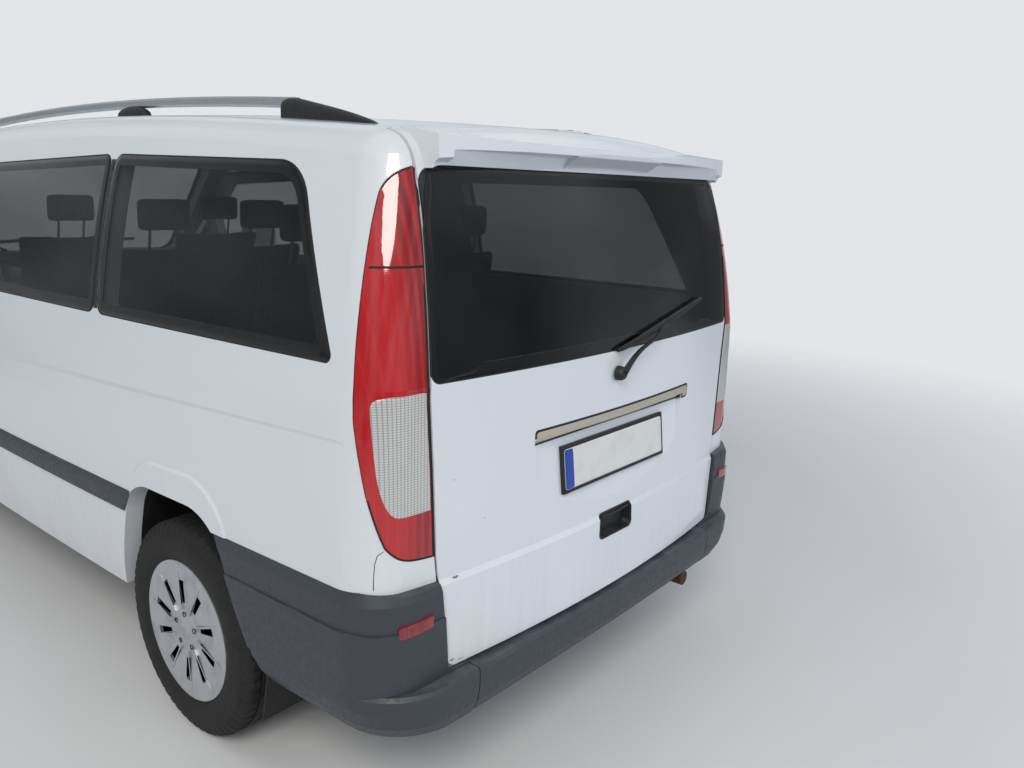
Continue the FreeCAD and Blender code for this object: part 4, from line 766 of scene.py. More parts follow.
def tube(name, path, radii, sides=12):
    """A closed bar along points. Its radius is a number or an (across, up) pair, or a list of them."""
    path = [Vector(p) for p in path]
    radii = radii if isinstance(radii, list) else [radii] * len(path)
    rows, across = [], None
    for i, here in enumerate(path):
        run = (path[min(i + 1, len(path) - 1)] - path[max(i - 1, 0)]).normalized()
        across = (across or run.cross(Vector((0.3, 0.2, 1.0)))).normalized()
        across = (across - run * across.dot(run)).normalized()
        up = run.cross(across)
        wide, high = radii[i] if isinstance(radii[i], tuple) else (radii[i], radii[i])
        turns = [TURN * k / sides for k in range(sides)]
        rows.append([here + across * wide * math.cos(a) + up * high * math.sin(a) for a in turns])
    return outside(lofted(name, rows, first=True))


def turned(name, section, middle, count):
    """A closed ring about a crosswise axle. section(k) lists (across, radius) at angle step k of count."""
    points = []
    for k in range(count):
        turn = TURN * k / count
        row = section(k)
        points += [middle + Vector((radius * math.sin(turn), across, -radius * math.cos(turn)))
                   for across, radius in row]
    return outside(mesh_object(name, points, grid_faces(count, len(row), wrap_rows=True, wrap_cols=True)))


def ribbon(name, points, half, rise, skin, way):
    """A narrow raised line along points on a skin, as round as a bead."""
    path = [skin.near(Vector(p))[0] for p in points]
    line = []
    for a, b in zip(path, path[1:]):
        steps = max(1, math.ceil((b - a).length / 0.008))
        line += [skin.near(a.lerp(b, k / steps))[0] for k in range(steps)]
    line.append(path[-1])
    rows = []
    for i, here in enumerate(line):
        normal = skin.near(here)[1]
        if normal.dot(Vector(way)) < 0:
            normal = -normal
        run = (line[min(i + 1, len(line) - 1)] - line[max(i - 1, 0)]).normalized()
        cross = run.cross(normal).normalized()
        turns = [math.pi * turn / 6 for turn in range(7)]
        rows.append([here + cross * half * math.cos(a) + normal * (rise * math.sin(a) - 0.0004) for a in turns])
    return dress(outside(lofted(name, rows, first=True)), "black_rubber", "root", 60)


def held_in(spans, start, way, skin, margin):
    """The same spans, drawn in from each end until they meet the skin, and a margin more."""
    out = []
    for v, u0, u1 in spans:
        ends = []
        for end, other in ((u0, u1), (u1, u0)):
            sign = 1 if other > end else -1
            moved = 0.0
            while skin.along(start(end + sign * moved, v), way)[0] is None:
                moved += 0.001
                if moved > abs(other - end):
                    raise RuntimeError("no skin at height %.3f" % v)
            ends.append(end + sign * (moved + margin if moved else 0.0))
        out.append((v, *ends))
    return out


def patch(name, spans, start, way, skin, top, edge, cols, sink):
    """A plate laid on a skin. Each span is (v, from u, to u) across the looking direction; start(u, v) gives a point
    outside. In millimetres: it stands top, or top(v), proud, is bevelled over edge and goes sink into the skin."""
    upper, lower = [], []
    first, last = spans[0][0], spans[-1][0]
    for v, u0, u1 in spans:
        for j in range(cols + 1):
            u = u0 + (u1 - u0) * j / cols
            spot, normal = skin.along(start(u, v), way)
            if spot is None:
                raise RuntimeError(name + " misses its skin at %.3f, %.3f" % (u, v))
            near = min(abs(u - u0), abs(u - u1), abs(v - first), abs(v - last)) * 1000
            lift = (top(v) if callable(top) else top) * min(1.0, 0.35 + 0.65 * near / edge)
            upper.append(spot + normal * lift / 1000)
            lower.append(spot - normal * sink / 1000)
    rows, width, count = len(spans), cols + 1, len(upper)
    faces = grid_faces(rows, width)
    faces += [tuple(count + i for i in reversed(face)) for face in faces]
    ring = list(range(width)) + [i * width + width - 1 for i in range(1, rows)]
    ring += [(rows - 1) * width + j for j in range(width - 2, -1, -1)]
    ring += [i * width for i in range(rows - 2, 0, -1)]
    faces += [(a, b, count + b, count + a) for a, b in zip(ring, ring[1:] + ring[:1])]
    return outside(mesh_object(name, upper + lower, faces))


def spans_of(outline, count):
    """Rows across a convex outline of (u, v) corners, from its lowest v to its highest."""
    low, high = min(v for _, v in outline), max(v for _, v in outline)
    rows = []
    for i in range(count + 1):
        v = low + (high - low) * (0.5 - 0.5 * math.cos(math.pi * i / count)) * 0.9998 + (high - low) * 0.0001
        sides = zip(outline, outline[1:] + outline[:1])
        cuts = [u0 + (u1 - u0) * (v - v0) / (v1 - v0) for (u0, v0), (u1, v1) in sides
                if (v0 - v) * (v1 - v) <= 0 and v0 != v1]
        rows.append((v, min(cuts), max(cuts)))
    return rows


def round_box(u0, u1, v0, v1, r, steps=6):
    """The outline of a rectangle with rounded corners."""
    out = []
    for cu, cv, a0 in ((u1 - r, v1 - r, 0), (u0 + r, v1 - r, 90), (u0 + r, v0 + r, 180), (u1 - r, v0 + r, 270)):
        turns = [math.radians(a0 + 90 * k / steps) for k in range(steps + 1)]
        out += [(cu + r * math.cos(a), cv + r * math.sin(a)) for a in turns]
    return out


def rounded_off(outline):
    """A closed outline with its corners cut twice, so that they become curves."""
    for _ in range(2):
        outline = [(a[0] + (b[0] - a[0]) * t, a[1] + (b[1] - a[1]) * t)
                   for a, b in zip(outline, outline[1:] + outline[:1]) for t in (0.25, 0.75)]
    return outline


# Glass, strips and lamps

PANES = [
    # node, outward direction, width of the black border in millimetres (None: the panel's size), body
    ("side_glass", (0, 1, 0), None, "root"),
    ("side_glass", (0, -1, 0), None, "root"),
    ("sliding_door_glass", (0, -1, 0), None, "root"),
    ("door_glass_left", (0, 1, 0), 14, "door_left"),
    ("door_glass_right", (0, -1, 0), 14, "door_right"),
    ("windscreen", (1, 0, 0.8), 38, "root"),
    ("tailgate_glass", (-1, 0, 0.2), 50, "tailgate"),
]
BORDER_SIDE = [
    # height and half width of the clear part of the rear glass
    (1.20, 0.574), (1.26, 0.568), (1.36, 0.566), (1.44, 0.568), (1.51, 0.576), (1.57, 0.592), (1.63, 0.618),
    (1.70, 0.656),
]
SEAL = [(3.9, -3.0), (3.9, -0.6), (2.6, 0.5), (0.8, 0.6), (-0.4, 0.1), (-0.4, -1.0)]


class BUS_OT_glass_borders(bpy.types.Operator):
    """Lay the black printed border and the rubber seal round every pane"""
    bl_idname = "minibus.glass_borders"
    bl_label = "Glass borders and seals"

    def execute(self, context):
        for node, way, width, body in PANES:
            width = width or context.scene.minibus.border_width * 1000
            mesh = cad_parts[node].data
            skin = Skin(node)
            for k, (size, faces) in enumerate(outward(mesh, way)):
                if size < 0.02:
                    continue
                loop = spaced(rim(mesh, faces))
                label = "%s_%s%d" % (node, "l" if way[1] > 0 else "r" if way[1] < 0 else "m", k)
                if node == "tailgate_glass":
                    border = self.wide_border("border_" + label, loop, skin)
                else:
                    profile = [(-0.3, 0.2), (-1.2, 0.7), (-width / 2, 0.7), (-width, 0.7)]
                    border = band("border_" + label, loop, profile, skin)
                dress(border, "ceramic_border", body)
                dress(band("seal_" + label, loop, SEAL, skin), "black_rubber", body, 50)
        self.gap_strips()
        return {"FINISHED"}

    def wide_border(self, name, loop, skin):
        """The rear glass's border: narrow above and below, broad and curved at the sides."""
        low, high = min(p.z for p in loop) + 0.030, max(p.z for p in loop) - 0.034
        points, steps = [], 9
        for here in loop:
            z = min(max(here.z, low), high)
            for (z0, y0), (z1, y1) in zip(BORDER_SIDE, BORDER_SIDE[1:]):
                if z <= z1:
                    break
            reach = y0 + (y1 - y0) * (z - z0) / (z1 - z0)
            goal = Vector((here.x, min(max(here.y, -reach), reach), z))
            for k in range(steps + 1):
                spot, normal = skin.near(here.lerp(goal, 0.006 + 0.994 * k / steps))
                normal = normal if normal.x < 0 else Vector(BACKWARD)
                points.append(spot + normal * (0.0003 if k == 0 else 0.0007))
        return mesh_object(name, points, grid_faces(len(loop), steps + 1, wrap_rows=True))

    def gap_strips(self):
        """Dark strips in the joints between the tailgate's sides and the body: painted shade in the gaps, made as
        black rubber.
        """
        gate = Skin("tailgate", "tailgate_glass")
        foot, head, steps = 0.490, 1.685, 46
        for name, side in SIDES.items():
            path = []
            for k in range(steps + 1):
                z = foot + (head - foot) * k / steps
                y = 0.640
                while gate.along(BEHIND(side * (y + 0.001), z), FORWARD)[0] is not None and y < 0.76:
                    y += 0.001
                spot, _ = gate.along(BEHIND(side * (y - 0.002), z), FORWARD)
                path.append((spot.x + 0.009, side * (y + 0.0022), z))
            # Painted shade: a black strip just inside each joint darkens the gap
            strip = tube("gap_strip_" + name, path, (0.0024, 0.0045), 10)
            dress(strip, "black_rubber", "tailgate", 60)


class BUS_OT_window_posts(bpy.types.Operator):
    """Cover the posts between the side windows in black, so that the glass runs on as one dark band"""
    bl_idname = "minibus.window_posts"
    bl_label = "Window posts"

    def execute(self, context):
        self.post("post_left", "side_left", 1, self.loop("side_glass", 1, 0), self.loop("side_glass", 1, 1))
        joint, gap = -1.044, 0.0075  # the sliding door's rear joint
        self.post("post_right", "side_right", -1, self.loop("side_glass", -1, 0), joint - gap)
        self.post("post_slide", "sliding_door", -1, joint + gap, self.loop("sliding_door_glass", -1, 0))
        return {"FINISHED"}

    def loop(self, node, side, place):
        """The outline of one of the panes behind the front doors, counted from the rear."""
        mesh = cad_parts[node].data
        found = []
        for size, faces in outward(mesh, (0, side, 0)):
            line = rim(mesh, faces)
            middle = sum(p.x for p in line) / len(line)
            if size > 0.1 and middle < 0.1:
                found.append((middle, line))
        return sorted(found, key=lambda pane: pane[0])[place][1]

    def post(self, name, node, side, rear, front):
        """A black cover between two panes' outlines, or between one and a place along the body."""
        skin = Skin(node)
        known = [line for line in (rear, front) if not isinstance(line, float)]
        low = max(min(p.z for p in line) for line in known) + 0.012
        high = min(max(p.z for p in line) for line in known) - 0.012
        spans = []
        for i in range(25):
            v = low + (high - low) * i / 24
            ends = []
            for line, pick, gap in ((rear, max, 0.0045), (front, min, -0.0045)):
                if isinstance(line, float):
                    ends.append(line)
                    continue
                cuts = [a.x + (b.x - a.x) * (v - a.z) / (b.z - a.z) for a, b in zip(line, line[1:] + line[:1])
                        if (a.z - v) * (b.z - v) <= 0 and a.z != b.z]
                ends.append(pick(cuts) + gap)
            spans.append((v, *ends))
        if max(u1 - u0 for _, u0, u1 in spans) < 0.012:
            return
        look = from_side(side), (0, -side, 0), skin
        made = patch(name, held_in(spans, *look, 0.0005), *look, 0.9, 1.2, 8, 0.5)
        dress(made, "ceramic_border", "root")


STRIP_LOW, STRIP_HIGH = 0.658, 0.732
STRIPS = [
    # node, body, rear end, front end, side
    ("side_left", "root", -1.314, 0.024, 1),
    ("front_door_left", "door_left", 0.040, 1.081, 1),
    ("front_wings", "root", 1.096, 1.352, 1),
    ("side_right", "root", -1.314, -1.052, -1),
    ("sliding_door", "root", -1.035, -0.035, -1),
    ("side_right", "root", -0.018, 0.024, -1),
    ("front_door_right", "door_right", 0.040, 1.081, -1),
    ("front_wings", "root", 1.096, 1.352, -1),
]


class BUS_OT_rub_strips(bpy.types.Operator):
    """Lay the dark protective strips along both sides"""
    bl_idname = "minibus.rub_strips"
    bl_label = "Rub strips"

    def execute(self, context):
        rise = context.scene.minibus.strip_rise * 1000
        tall = STRIP_HIGH - STRIP_LOW
        middle = (STRIP_LOW + STRIP_HIGH) / 2

        def rounded(v):
            return rise * (1 - 0.55 * max(0.0, (v - middle) / (STRIP_HIGH - middle)) ** 1.5)

        for k, (node, body, x0, x1, side) in enumerate(STRIPS):
            # Ends at a wheel arch follow its slope
            back, front = (-0.048 if x0 < -1.3 else 0.0), (0.048 if x1 > 1.3 else 0.0)
            spans = [(STRIP_LOW + tall * i / 12, x0 + back * i / 12, x1 + front * i / 12) for i in range(13)]
            strip = patch("rub_strip_%d" % k, spans, from_side(side), (0, -side, 0), Skin(node), rounded, 4.0,
                          max(4, int((x1 - x0) / 0.05)), 1.0)
            dress(strip, "bumper_plastic", body, 30)
        return {"FINISHED"}


# Outlines on the left: distance from the middle plane, and height
LENS = [(0.620, 1.187), (0.840, 1.189), (0.866, 1.180), (0.870, 1.150), (0.867, 1.050), (0.862, 0.979),
        (0.849, 0.930), (0.832, 0.904), (0.810, 0.898), (0.620, 0.904)]
REFLECTOR = [(0.744, 0.612), (0.834, 0.608), (0.840, 0.613), (0.841, 0.634), (0.836, 0.640), (0.744, 0.645)]


class BUS_OT_tail_lamps(bpy.types.Operator):
    """Model the clear lenses and gaskets of the tail lamps and the reflectors under them"""
    bl_idname = "minibus.tail_lamps"
    bl_label = "Tail lamp lenses"

    def execute(self, context):
        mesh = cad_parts["tail_lamps"].data
        skin = Skin("tail_lamps")
        level = Level(Skin("rear_bumper_corners"), BEHIND, REFLECTOR[0][1])
        for name, side in SIDES.items():
            faces = [f for _, group in outward(mesh, (-0.8, 0.6 * side, 0.1), 0.75) for f in group
                     if f.center.y * side > 0]
            gasket = band("lamp_gasket_" + name, spaced(rim(mesh, faces), 0.02),
                          [(0.2, -2.0), (0.2, 1.0), (-1.6, 1.9), (-3.8, 1.4), (-4.4, -0.4)], skin)
            dress(gasket, "black_rubber", "root", 50)
            outline = [(side * y, z) for y, z in rounded_off(LENS)]
            spans = held_in(spans_of(outline, 22), BEHIND, FORWARD, skin, 0.006)
            lens = patch("clear_lens_" + name, spans, BEHIND, FORWARD, skin, 1.6, 5.0, 26, 1.0)
            dress(lens, "clear_acrylic", "root", 50)
            box = [(side * y, z) for y, z in REFLECTOR]
            mark = patch("reflector_" + name, spans_of(box, 8), BEHIND, FORWARD, level, 1.8, 3.0, 20, 12.0)
            dress(mark, "reflector_red", "root", 40)
        return {"FINISHED"}


# Tailgate

def ridged(z):
    """The bright strip's rise in millimetres: it falls away above and below its middle."""
    return 6.0 - 1.5 * abs(z - 1.0075) / 0.0175


TRIM = [
    # name, box (y from, y to, z from, z to), corner, rows, the patch's (top, edge, cols, sink), look, slot
    ("trim_base", (-0.431, 0.387, 0.984, 1.031), 0.010, 14, (1.6, 3.0, 60, 1.5), "trim_plastic", "trim"),
    ("trim_strip", (-0.425, 0.381, 0.990, 1.025), 0.008, 14, (ridged, 12.0, 60, 0.0), "bright_trim", "rail"),
]
PLATE = [
    # the same on the plate holder, with heights from its middle
    ("number_plate", (-0.258, 0.258, -0.057, 0.057), 0.008, 12, (1.6, 1.0, 30, 0.5), "plate_white", "paint"),
    ("plate_band", (0.218, 0.2565, -0.0555, 0.0555), 0.006, 10, (2.0, 0.6, 8, -1.7), "plate_blue", "paint"),
    ("plate_frame_foot", (-0.262, 0.262, -0.0665, -0.058), 0.003, 6, (3.4, 1.5, 24, 0.5), "trim_plastic", "trim"),
]
CUP = (0.0835, 0.0175, 0.675, 0.0375)  # half width, corner, middle height, half height
CUP_FLOOR = -2.4637
CUP_RINGS = [
    # inset from the cup's outline, step forwards from the tailgate's face, share of the way to the cup's floor
    (-0.004, 0.0006, 0.0), (-0.0035, -0.0018, 0.0), (0.0012, -0.0018, 0.0), (0.0025, 0.0, 0.35), (0.006, 0.0, 1.0),
]


def wiper_blade(names, glass, start, way, ends, lifts, blade, rubber, body):
    """A wiper's bridge and its rubber between two places on the glass, each at its own lift. The blade is given as
    its half width and the arch of its height, the rubber as its radii. Returns the bridge and its line."""
    (u0, v0), (u1, v1) = ends
    steps = 24
    line, edge = [], []
    for k in range(steps + 1):
        t = k / steps
        spot, normal = glass.along(start(u0 + (u1 - u0) * t, v0 + (v1 - v0) * t), way)
        line.append(spot + normal * lifts[0])
        edge.append(spot + normal * lifts[1])
    radii = [(blade[0], 0.0065 + blade[1] * math.sin(math.pi * k / steps)) for k in range(steps + 1)]
    bridge = dress(tube(names[0], line, radii, 10), "trim_plastic", body, 60)
    dress(tube(names[1], edge, rubber, 8), "black_rubber", body, 60)
    return bridge, line


class BUS_OT_tailgate_trim(bpy.types.Operator):
    """Fit the bright strip, the blank number plate, the handle cup and the wiper of the tailgate"""
    bl_idname = "minibus.tailgate_trim"
    bl_label = "Tailgate trim"

    def execute(self, context):
        gate = Skin("tailgate")
        low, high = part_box("rear_plate")
        self.plates(TRIM, gate, 0.0)
        self.plates(PLATE, Skin("rear_plate"), (low.z + high.z) / 2)
        self.cup(gate)
        self.wiper()
        return {"FINISHED"}

    def plates(self, table, skin, base):
        """Lay a table's plates on a skin, with their heights counted from base."""
        for name, (y0, y1, z0, z1), corner, rows, build, look, slot in table:
            spans = spans_of(round_box(y0, y1, base + z0, base + z1, corner), rows)
            dress(patch(name, spans, BEHIND, FORWARD, skin, *build), look, "tailgate")

    def cup(self, gate):
        """The black cup of the handle recess with its grip."""
        half, corner, middle, tall = CUP
        rows = []
        for inset, back, share in CUP_RINGS:
            row = []
            for y, z in round_box(inset - half, half - inset, middle - tall + inset, middle + tall - inset, corner):
                # The face of the tailgate outside the recess
                spot, reach = None, 1.0
                while spot is None or spot.x > -2.47:
                    spot, _ = gate.along(BEHIND(y * reach * 1.08, middle + (z - middle) * reach * 1.2), FORWARD)
                    reach += 0.03
                row.append(Vector((spot.x + back + (CUP_FLOOR - spot.x) * share, y, z)))
            rows.append(row)
        dress(outside(lofted("handle_cup", rows)), "trim_plastic", "tailgate")
        path = [(-2.4805, k * 0.01, 0.7035 - 0.004 * math.cos(k * 0.01 / 0.07 * 1.4)) for k in range(-7, 8)]
        dress(tube("handle_grip", path, (0.006, 0.004), 10), "dark_plastic", "tailgate")

    def wiper(self):
        """The rear wiper: a domed cap, a tapering arm and a blade with its bridge and rubber."""
        glass = Skin("tailgate_glass", "tailgate")
        ends = (0.050, 1.204), (-0.478, 1.307)
        base, tip = (glass.along(BEHIND(*end), FORWARD)[0] for end in ends)
        pivot, _ = glass.along(BEHIND(0.034, 1.136), FORWARD)
        shares = [k / 8 for k in range(9)]
        cap = tube("wiper_cap", [pivot + Vector((-0.002 - 0.030 * t, -0.004 * t, 0.0)) for t in shares],
                   [0.021 * math.sqrt(1 - t ** 3) + 0.0005 for t in shares], 24)
        dress(cap, "trim_plastic", "tailgate", 60)
        start = pivot + Vector((-0.026, 0.0, 0.004))
        end = (base + tip) / 2 + Vector((-0.024, 0.0, 0.0))
        path, radii = [], []
        for k in range(15):
            t = k / 14
            here = start.lerp(end, t)
            here.x -= 0.010 * math.sin(math.pi * t)
            here.z += 0.030 * math.sin(math.pi * min(1.0, t * 1.4)) * (1 - t)
            path.append(here)
            radii.append((0.015 - 0.010 * t ** 0.6, 0.007 - 0.004 * t))
        dress(tube("wiper_arm", path, radii, 14), "trim_plastic", "tailgate", 60)
        blade, _ = wiper_blade(("wiper_blade", "wiper_rubber"), glass, BEHIND, FORWARD, ends, (0.0135, 0.0055),
                               (0.006, 0.0045), (0.0018, 0.0045), "tailgate")
        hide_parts("rear_wiper")


FOOT_SEAM = [(-2.405, 0.853, 0.826), (-2.397, 0.865, 0.816), (-2.393, 0.870, 0.795), (-2.391, 0.872, 0.758),
             (-2.391, 0.873, 0.730)]
MARKS = [
    # y, z, width and height of the chips and scuffs on the tailgate's left edge
    (0.655, 0.706, 0.020, 0.006), (0.668, 0.486, 0.014, 0.007), (0.660, 0.960, 0.004, 0.003),
    (0.560, 0.836, 0.004, 0.003), (0.640, 0.479, 0.022, 0.002),
]


class BUS_OT_seams_and_marks(bpy.types.Operator):
    """Draw the panel joint under each tail lamp, the lamp's dark divider and the chips on the tailgate"""
    bl_idname = "minibus.seams_and_marks"
    bl_label = "Seams and marks"

    def execute(self, context):
        lamp, gate = Skin("tail_lamps"), Skin("tailgate")
        inner, outer = 0.728, 0.845
        for name, side in SIDES.items():
            ribbon("foot_seam_" + name, [(x, y * side, z) for x, y, z in FOOT_SEAM], 0.0013, 0.0007,
                   Skin("side_" + name), (-0.7, 0.7 * side, 0))
            line = []
            for k in range(13):
                y = inner + (outer - inner) * k / 12
                spot, _ = lamp.along(BEHIND(y * side, 1.470 - 0.02 * (y - inner)), FORWARD)
                if spot is not None:
                    line.append(spot)
            ribbon("lamp_divider_" + name, line, 0.0030, 0.0016, lamp, (-0.8, 0.6 * side, 0))
        for k, (y, z, wide, high) in enumerate(MARKS):
            outline = []
            for j in range(14):
                a = TURN * j / 14
                grow = 1.0 + 0.22 * math.sin(3 * a + k)
                outline.append((y + wide / 2 * grow * math.cos(a), z + high / 2 * grow * math.sin(a)))
            mark = patch("chip_%d" % k, spans_of(outline, 6), BEHIND, FORWARD, gate, 0.25, 0.5, 8, 0.3)
            dress(mark, "bare_primer", "tailgate")
        return {"FINISHED"}


# Roof, doors and front

RAIL_FEET = [
    # x of the foot's tip, of its root and of the rail's end over it (None: a foot under the rail)
    (-2.150, -1.790, -1.812), (0.865, 0.660, 0.686), (-1.035, -0.855, None),
]


class BUS_OT_roof_rail_feet(bpy.types.Operator):
    """Shape the black feet that carry the roof rails and taper into the roof"""
    bl_idname = "minibus.roof_rail_feet"
    bl_label = "Roof rail feet"

    def execute(self, context):
        roof, rails = Skin("roof_panel"), Skin("roof_rails")
        points, faces = [], []
        for side in (1, -1):
            for tip, root, end in RAIL_FEET:
                self.foot(points, faces, roof, rails, side * 0.634, tip, root, end)
        feet = outside(mesh_object("rail_foot_covers", points, faces))
        dress(feet, "trim_plastic", "root", 40)
        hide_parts("rail_feet")
        return {"FINISHED"}

    def foot(self, points, faces, roof, rails, y, tip, root, end):
        """Add one foot: arched rows that grow from the tip on the roof to the rail at the root."""
        base = len(points)
        above, below = 2.4, 1.3
        probe = -0.95 if end is None else end
        top = rails.along((probe, y, above), DOWN)[0].z
        low = min(rails.along((probe, y, below), UP)[0].z, top - 0.02)
        skin = roof.along((probe, y, above), DOWN)[0].z
        rows, width = 23, 13
        for i in range(rows):
            t = i / (rows - 1)
            x = tip + (root - tip) * t
            ground = roof.along((x, y, above), DOWN)[0].z
            if end is None:
                swell = math.sin(math.pi * t) ** 0.35 if 0 < t < 1 else 0.0
                height, wide = 0.0015 + (low - skin + 0.004) * swell, 0.014 + 0.004 * swell
            else:
                height = 0.0015 + (top - skin + 0.0035) * min(1.0, (t / 0.86)) ** 0.75
                wide = 0.008 + 0.014 * min(1.0, t / 0.5) ** 0.6
                if t > 0.93:
                    height *= 1.0 - 0.10 * ((t - 0.93) / 0.07) ** 2
            for k in range(width):
                a = math.pi * k / (width - 1)
                out = math.copysign(abs(math.cos(a)) ** 0.75, math.cos(a))
                points.append((x, y + wide * out, ground - 0.003 + (height + 0.003) * math.sin(a) ** 0.55))
        covers = [tuple(range(width)), tuple(range((rows - 1) * width, rows * width))]
        faces += [tuple(base + i for i in face) for face in grid_faces(rows, width, wrap_cols=True) + covers]


class BUS_OT_mirrors_and_handles(bpy.types.Operator):
    """Set the mirror glasses and the pull handles of the doors"""
    bl_idname = "minibus.mirrors_and_handles"
    bl_label = "Mirrors and handles"

    def execute(self, context):
        start = from_x(0.6)
        for name, side in SIDES.items():
            skin = Skin("mirror_" + name)
            outline = [(side * y, z) for y, z in round_box(1.030, 1.166, 1.268, 1.388, 0.024)]
            rows = held_in(spans_of(outline, 16), start, FORWARD, skin, 0.004)
            glass = patch("mirror_glass_" + name, rows, start, FORWARD, skin, 1.2, 3.0, 20, 0.5)
            dress(glass, "mirror_silver", "door_" + name)
            self.handle("door_handle_" + name, Skin("front_door_" + name), side, 0.105, "door_" + name)
        self.handle("slide_handle", Skin("sliding_door"), -1, -0.245, "root")
        return {"FINISHED"}

    def handle(self, name, skin, side, x0, body):
        """A pull handle arched over its plate, from x0 forwards."""
        long, z = 0.180, 1.018
        start, way = from_side(side), (0, -side, 0)
        outline = round_box(x0 - 0.008, x0 + long + 0.008, z - 0.021, z + 0.021, 0.018)
        plate = patch(name + "_plate", spans_of(outline, 12), start, way, skin, 1.2, 3.0, 30, 1.0)
        dress(plate, "trim_plastic", body)
        path = []
        for k in range(19):
            t = k / 18
            spot, normal = skin.along(start(x0 + long * t, z), way)
            path.append(spot + normal * (0.002 + 0.030 * math.sin(math.pi * t) ** 0.45))
        dress(tube(name + "_grip", path, (0.0065, 0.0125), 14), "white_enamel", body, 50)


HEADLAMP_BOWLS = [(0.565, 0.872, 0.062), (0.700, 0.880, 0.055)]  # y, z, radius
BOWL_RINGS = [
    # share of the bowl's radius, rise in millimetres
    (1.10, 0.4), (1.08, 2.4), (1.00, 3.0), (0.96, 1.4), (0.80, 0.9), (0.50, 0.6), (0.44, 1.2), (0.34, 3.2),
    (0.18, 4.4), (0.02, 4.8),
]


class BUS_OT_front_lamps_and_wipers(bpy.types.Operator):
    """Set the lamp bowls and indicators behind the front lenses, and the two windscreen wipers"""
    bl_idname = "minibus.front_lamps_and_wipers"
    bl_label = "Front lamps and wipers"

    def execute(self, context):
        skin = Skin("headlamps")
        for name, side in SIDES.items():
            for k, (y, z, radius) in enumerate(HEADLAMP_BOWLS):
                self.bowl("lamp_bowl_%s_%d" % (name, k), skin, side * y, z, radius)
            box = [(side * y, z) for y, z in round_box(0.775, 0.846, 0.790, 0.955, 0.022)]
            mark = patch("indicator_" + name, spans_of(box, 12), BEFORE, BACKWARD, skin, 1.6, 4.0, 16, 1.0)
            dress(mark, "amber_acrylic", "root", 50)
        glass, cowl = Skin("windscreen"), Skin("cowl")
        self.wiper("driver", glass, cowl, 0.640, 0.060, 0.160)
        self.wiper("passenger", glass, cowl, -0.010, -0.560, -0.500)
        return {"FINISHED"}

    def bowl(self, name, skin, y, z, radius):
        """A bright bowl with a raised rim and a dome in its middle."""
        def place(share, rise, cosine, sine):
            spot, normal = skin.along(BEFORE(y + radius * share * cosine, z + radius * share * sine), BACKWARD)
            return spot + normal * rise / 1000

        dress(lofted(name, ringed(40, place, BOWL_RINGS)), "lamp_bright", "root", 40)

    def wiper(self, name, glass, cowl, y0, y1, foot):
        """A wiper whose blade runs from y0 to y1 and whose pivot stands on the cowl at foot."""
        _, line = wiper_blade(("blade_" + name, "blade_rubber_" + name), glass, BEFORE, BACKWARD,
                              ((y0, 1.262), (y1, 1.292)), (0.014, 0.006), (0.005, 0.004), (0.0016, 0.0055), "root")
        pivot, _ = cowl.along((1.700, foot, 1.6), DOWN)
        start, end = pivot + Vector((0, 0, 0.012)), line[12] + Vector((0.010, 0, 0.006))
        shares = [k / 12 for k in range(13)]
        path = [start.lerp(end, t) + Vector((0, 0, 0.016 * math.sin(math.pi * t))) for t in shares]
        arm = tube("wiper_arm_" + name, path, [(0.011 - 0.005 * t, 0.006 - 0.002 * t) for t in shares], 12)
        dress(arm, "trim_plastic", "root", 60)
        cap = tube("wiper_pivot_" + name, [pivot + Vector((0, 0, z)) for z in (-0.002, 0.008, 0.015, 0.020, 0.022)],
                   [0.017, 0.017, 0.015, 0.010, 0.002], 20)
        dress(cap, "trim_plastic", "root", 60)


# Wheels

TYRE_HALF = [
    # distance from the tyre's middle plane and radius, in millimetres, from the bead to the tread's edge
    (84.0, 212.0), (89.0, 214.0), (93.0, 221.0), (95.5, 226.0), (97.0, 233.0), (98.6, 240.0), (99.4, 241.2),
    (99.8, 246.0), (101.0, 256.0), (101.7, 268.0), (101.7, 280.0), (100.6, 291.0), (99.6, 297.0), (99.0, 299.5),
    (97.2, 301.5), (96.0, 307.0), (93.6, 314.0), (91.0, 320.0), (87.5, 325.5), (83.0, 329.8), (77.0, 332.6),
]
TREAD_RADIUS, TREAD_EDGE = 335.0, 72.0
GROOVES = (-52.0, -18.0, 18.0, 52.0)
TREAD_LINES = sorted([middle + off for middle in GROOVES for off in (-4.6, -3.6, 3.6, 4.6)]
                     + [-TREAD_EDGE, TREAD_EDGE, -64.0, 64.0, -35.0, 35.0, -8.0, 8.0, 0.0])
PITCH_STEPS = 5  # angle steps of one tread block, two of them in the cut across it
HUB_RINGS = [(0.0, 0.0008), (0.010, 0.0008), (0.020, 0.0002), (0.027, -0.0012), (0.0305, -0.0030), (0.0315, -0.006)]
BOLT_RINGS = [(0.0085, 0.0060), (0.0080, 0.0066), (0.0066, 0.0062), (0.0060, 0.0046), (0.0052, 0.0030)]


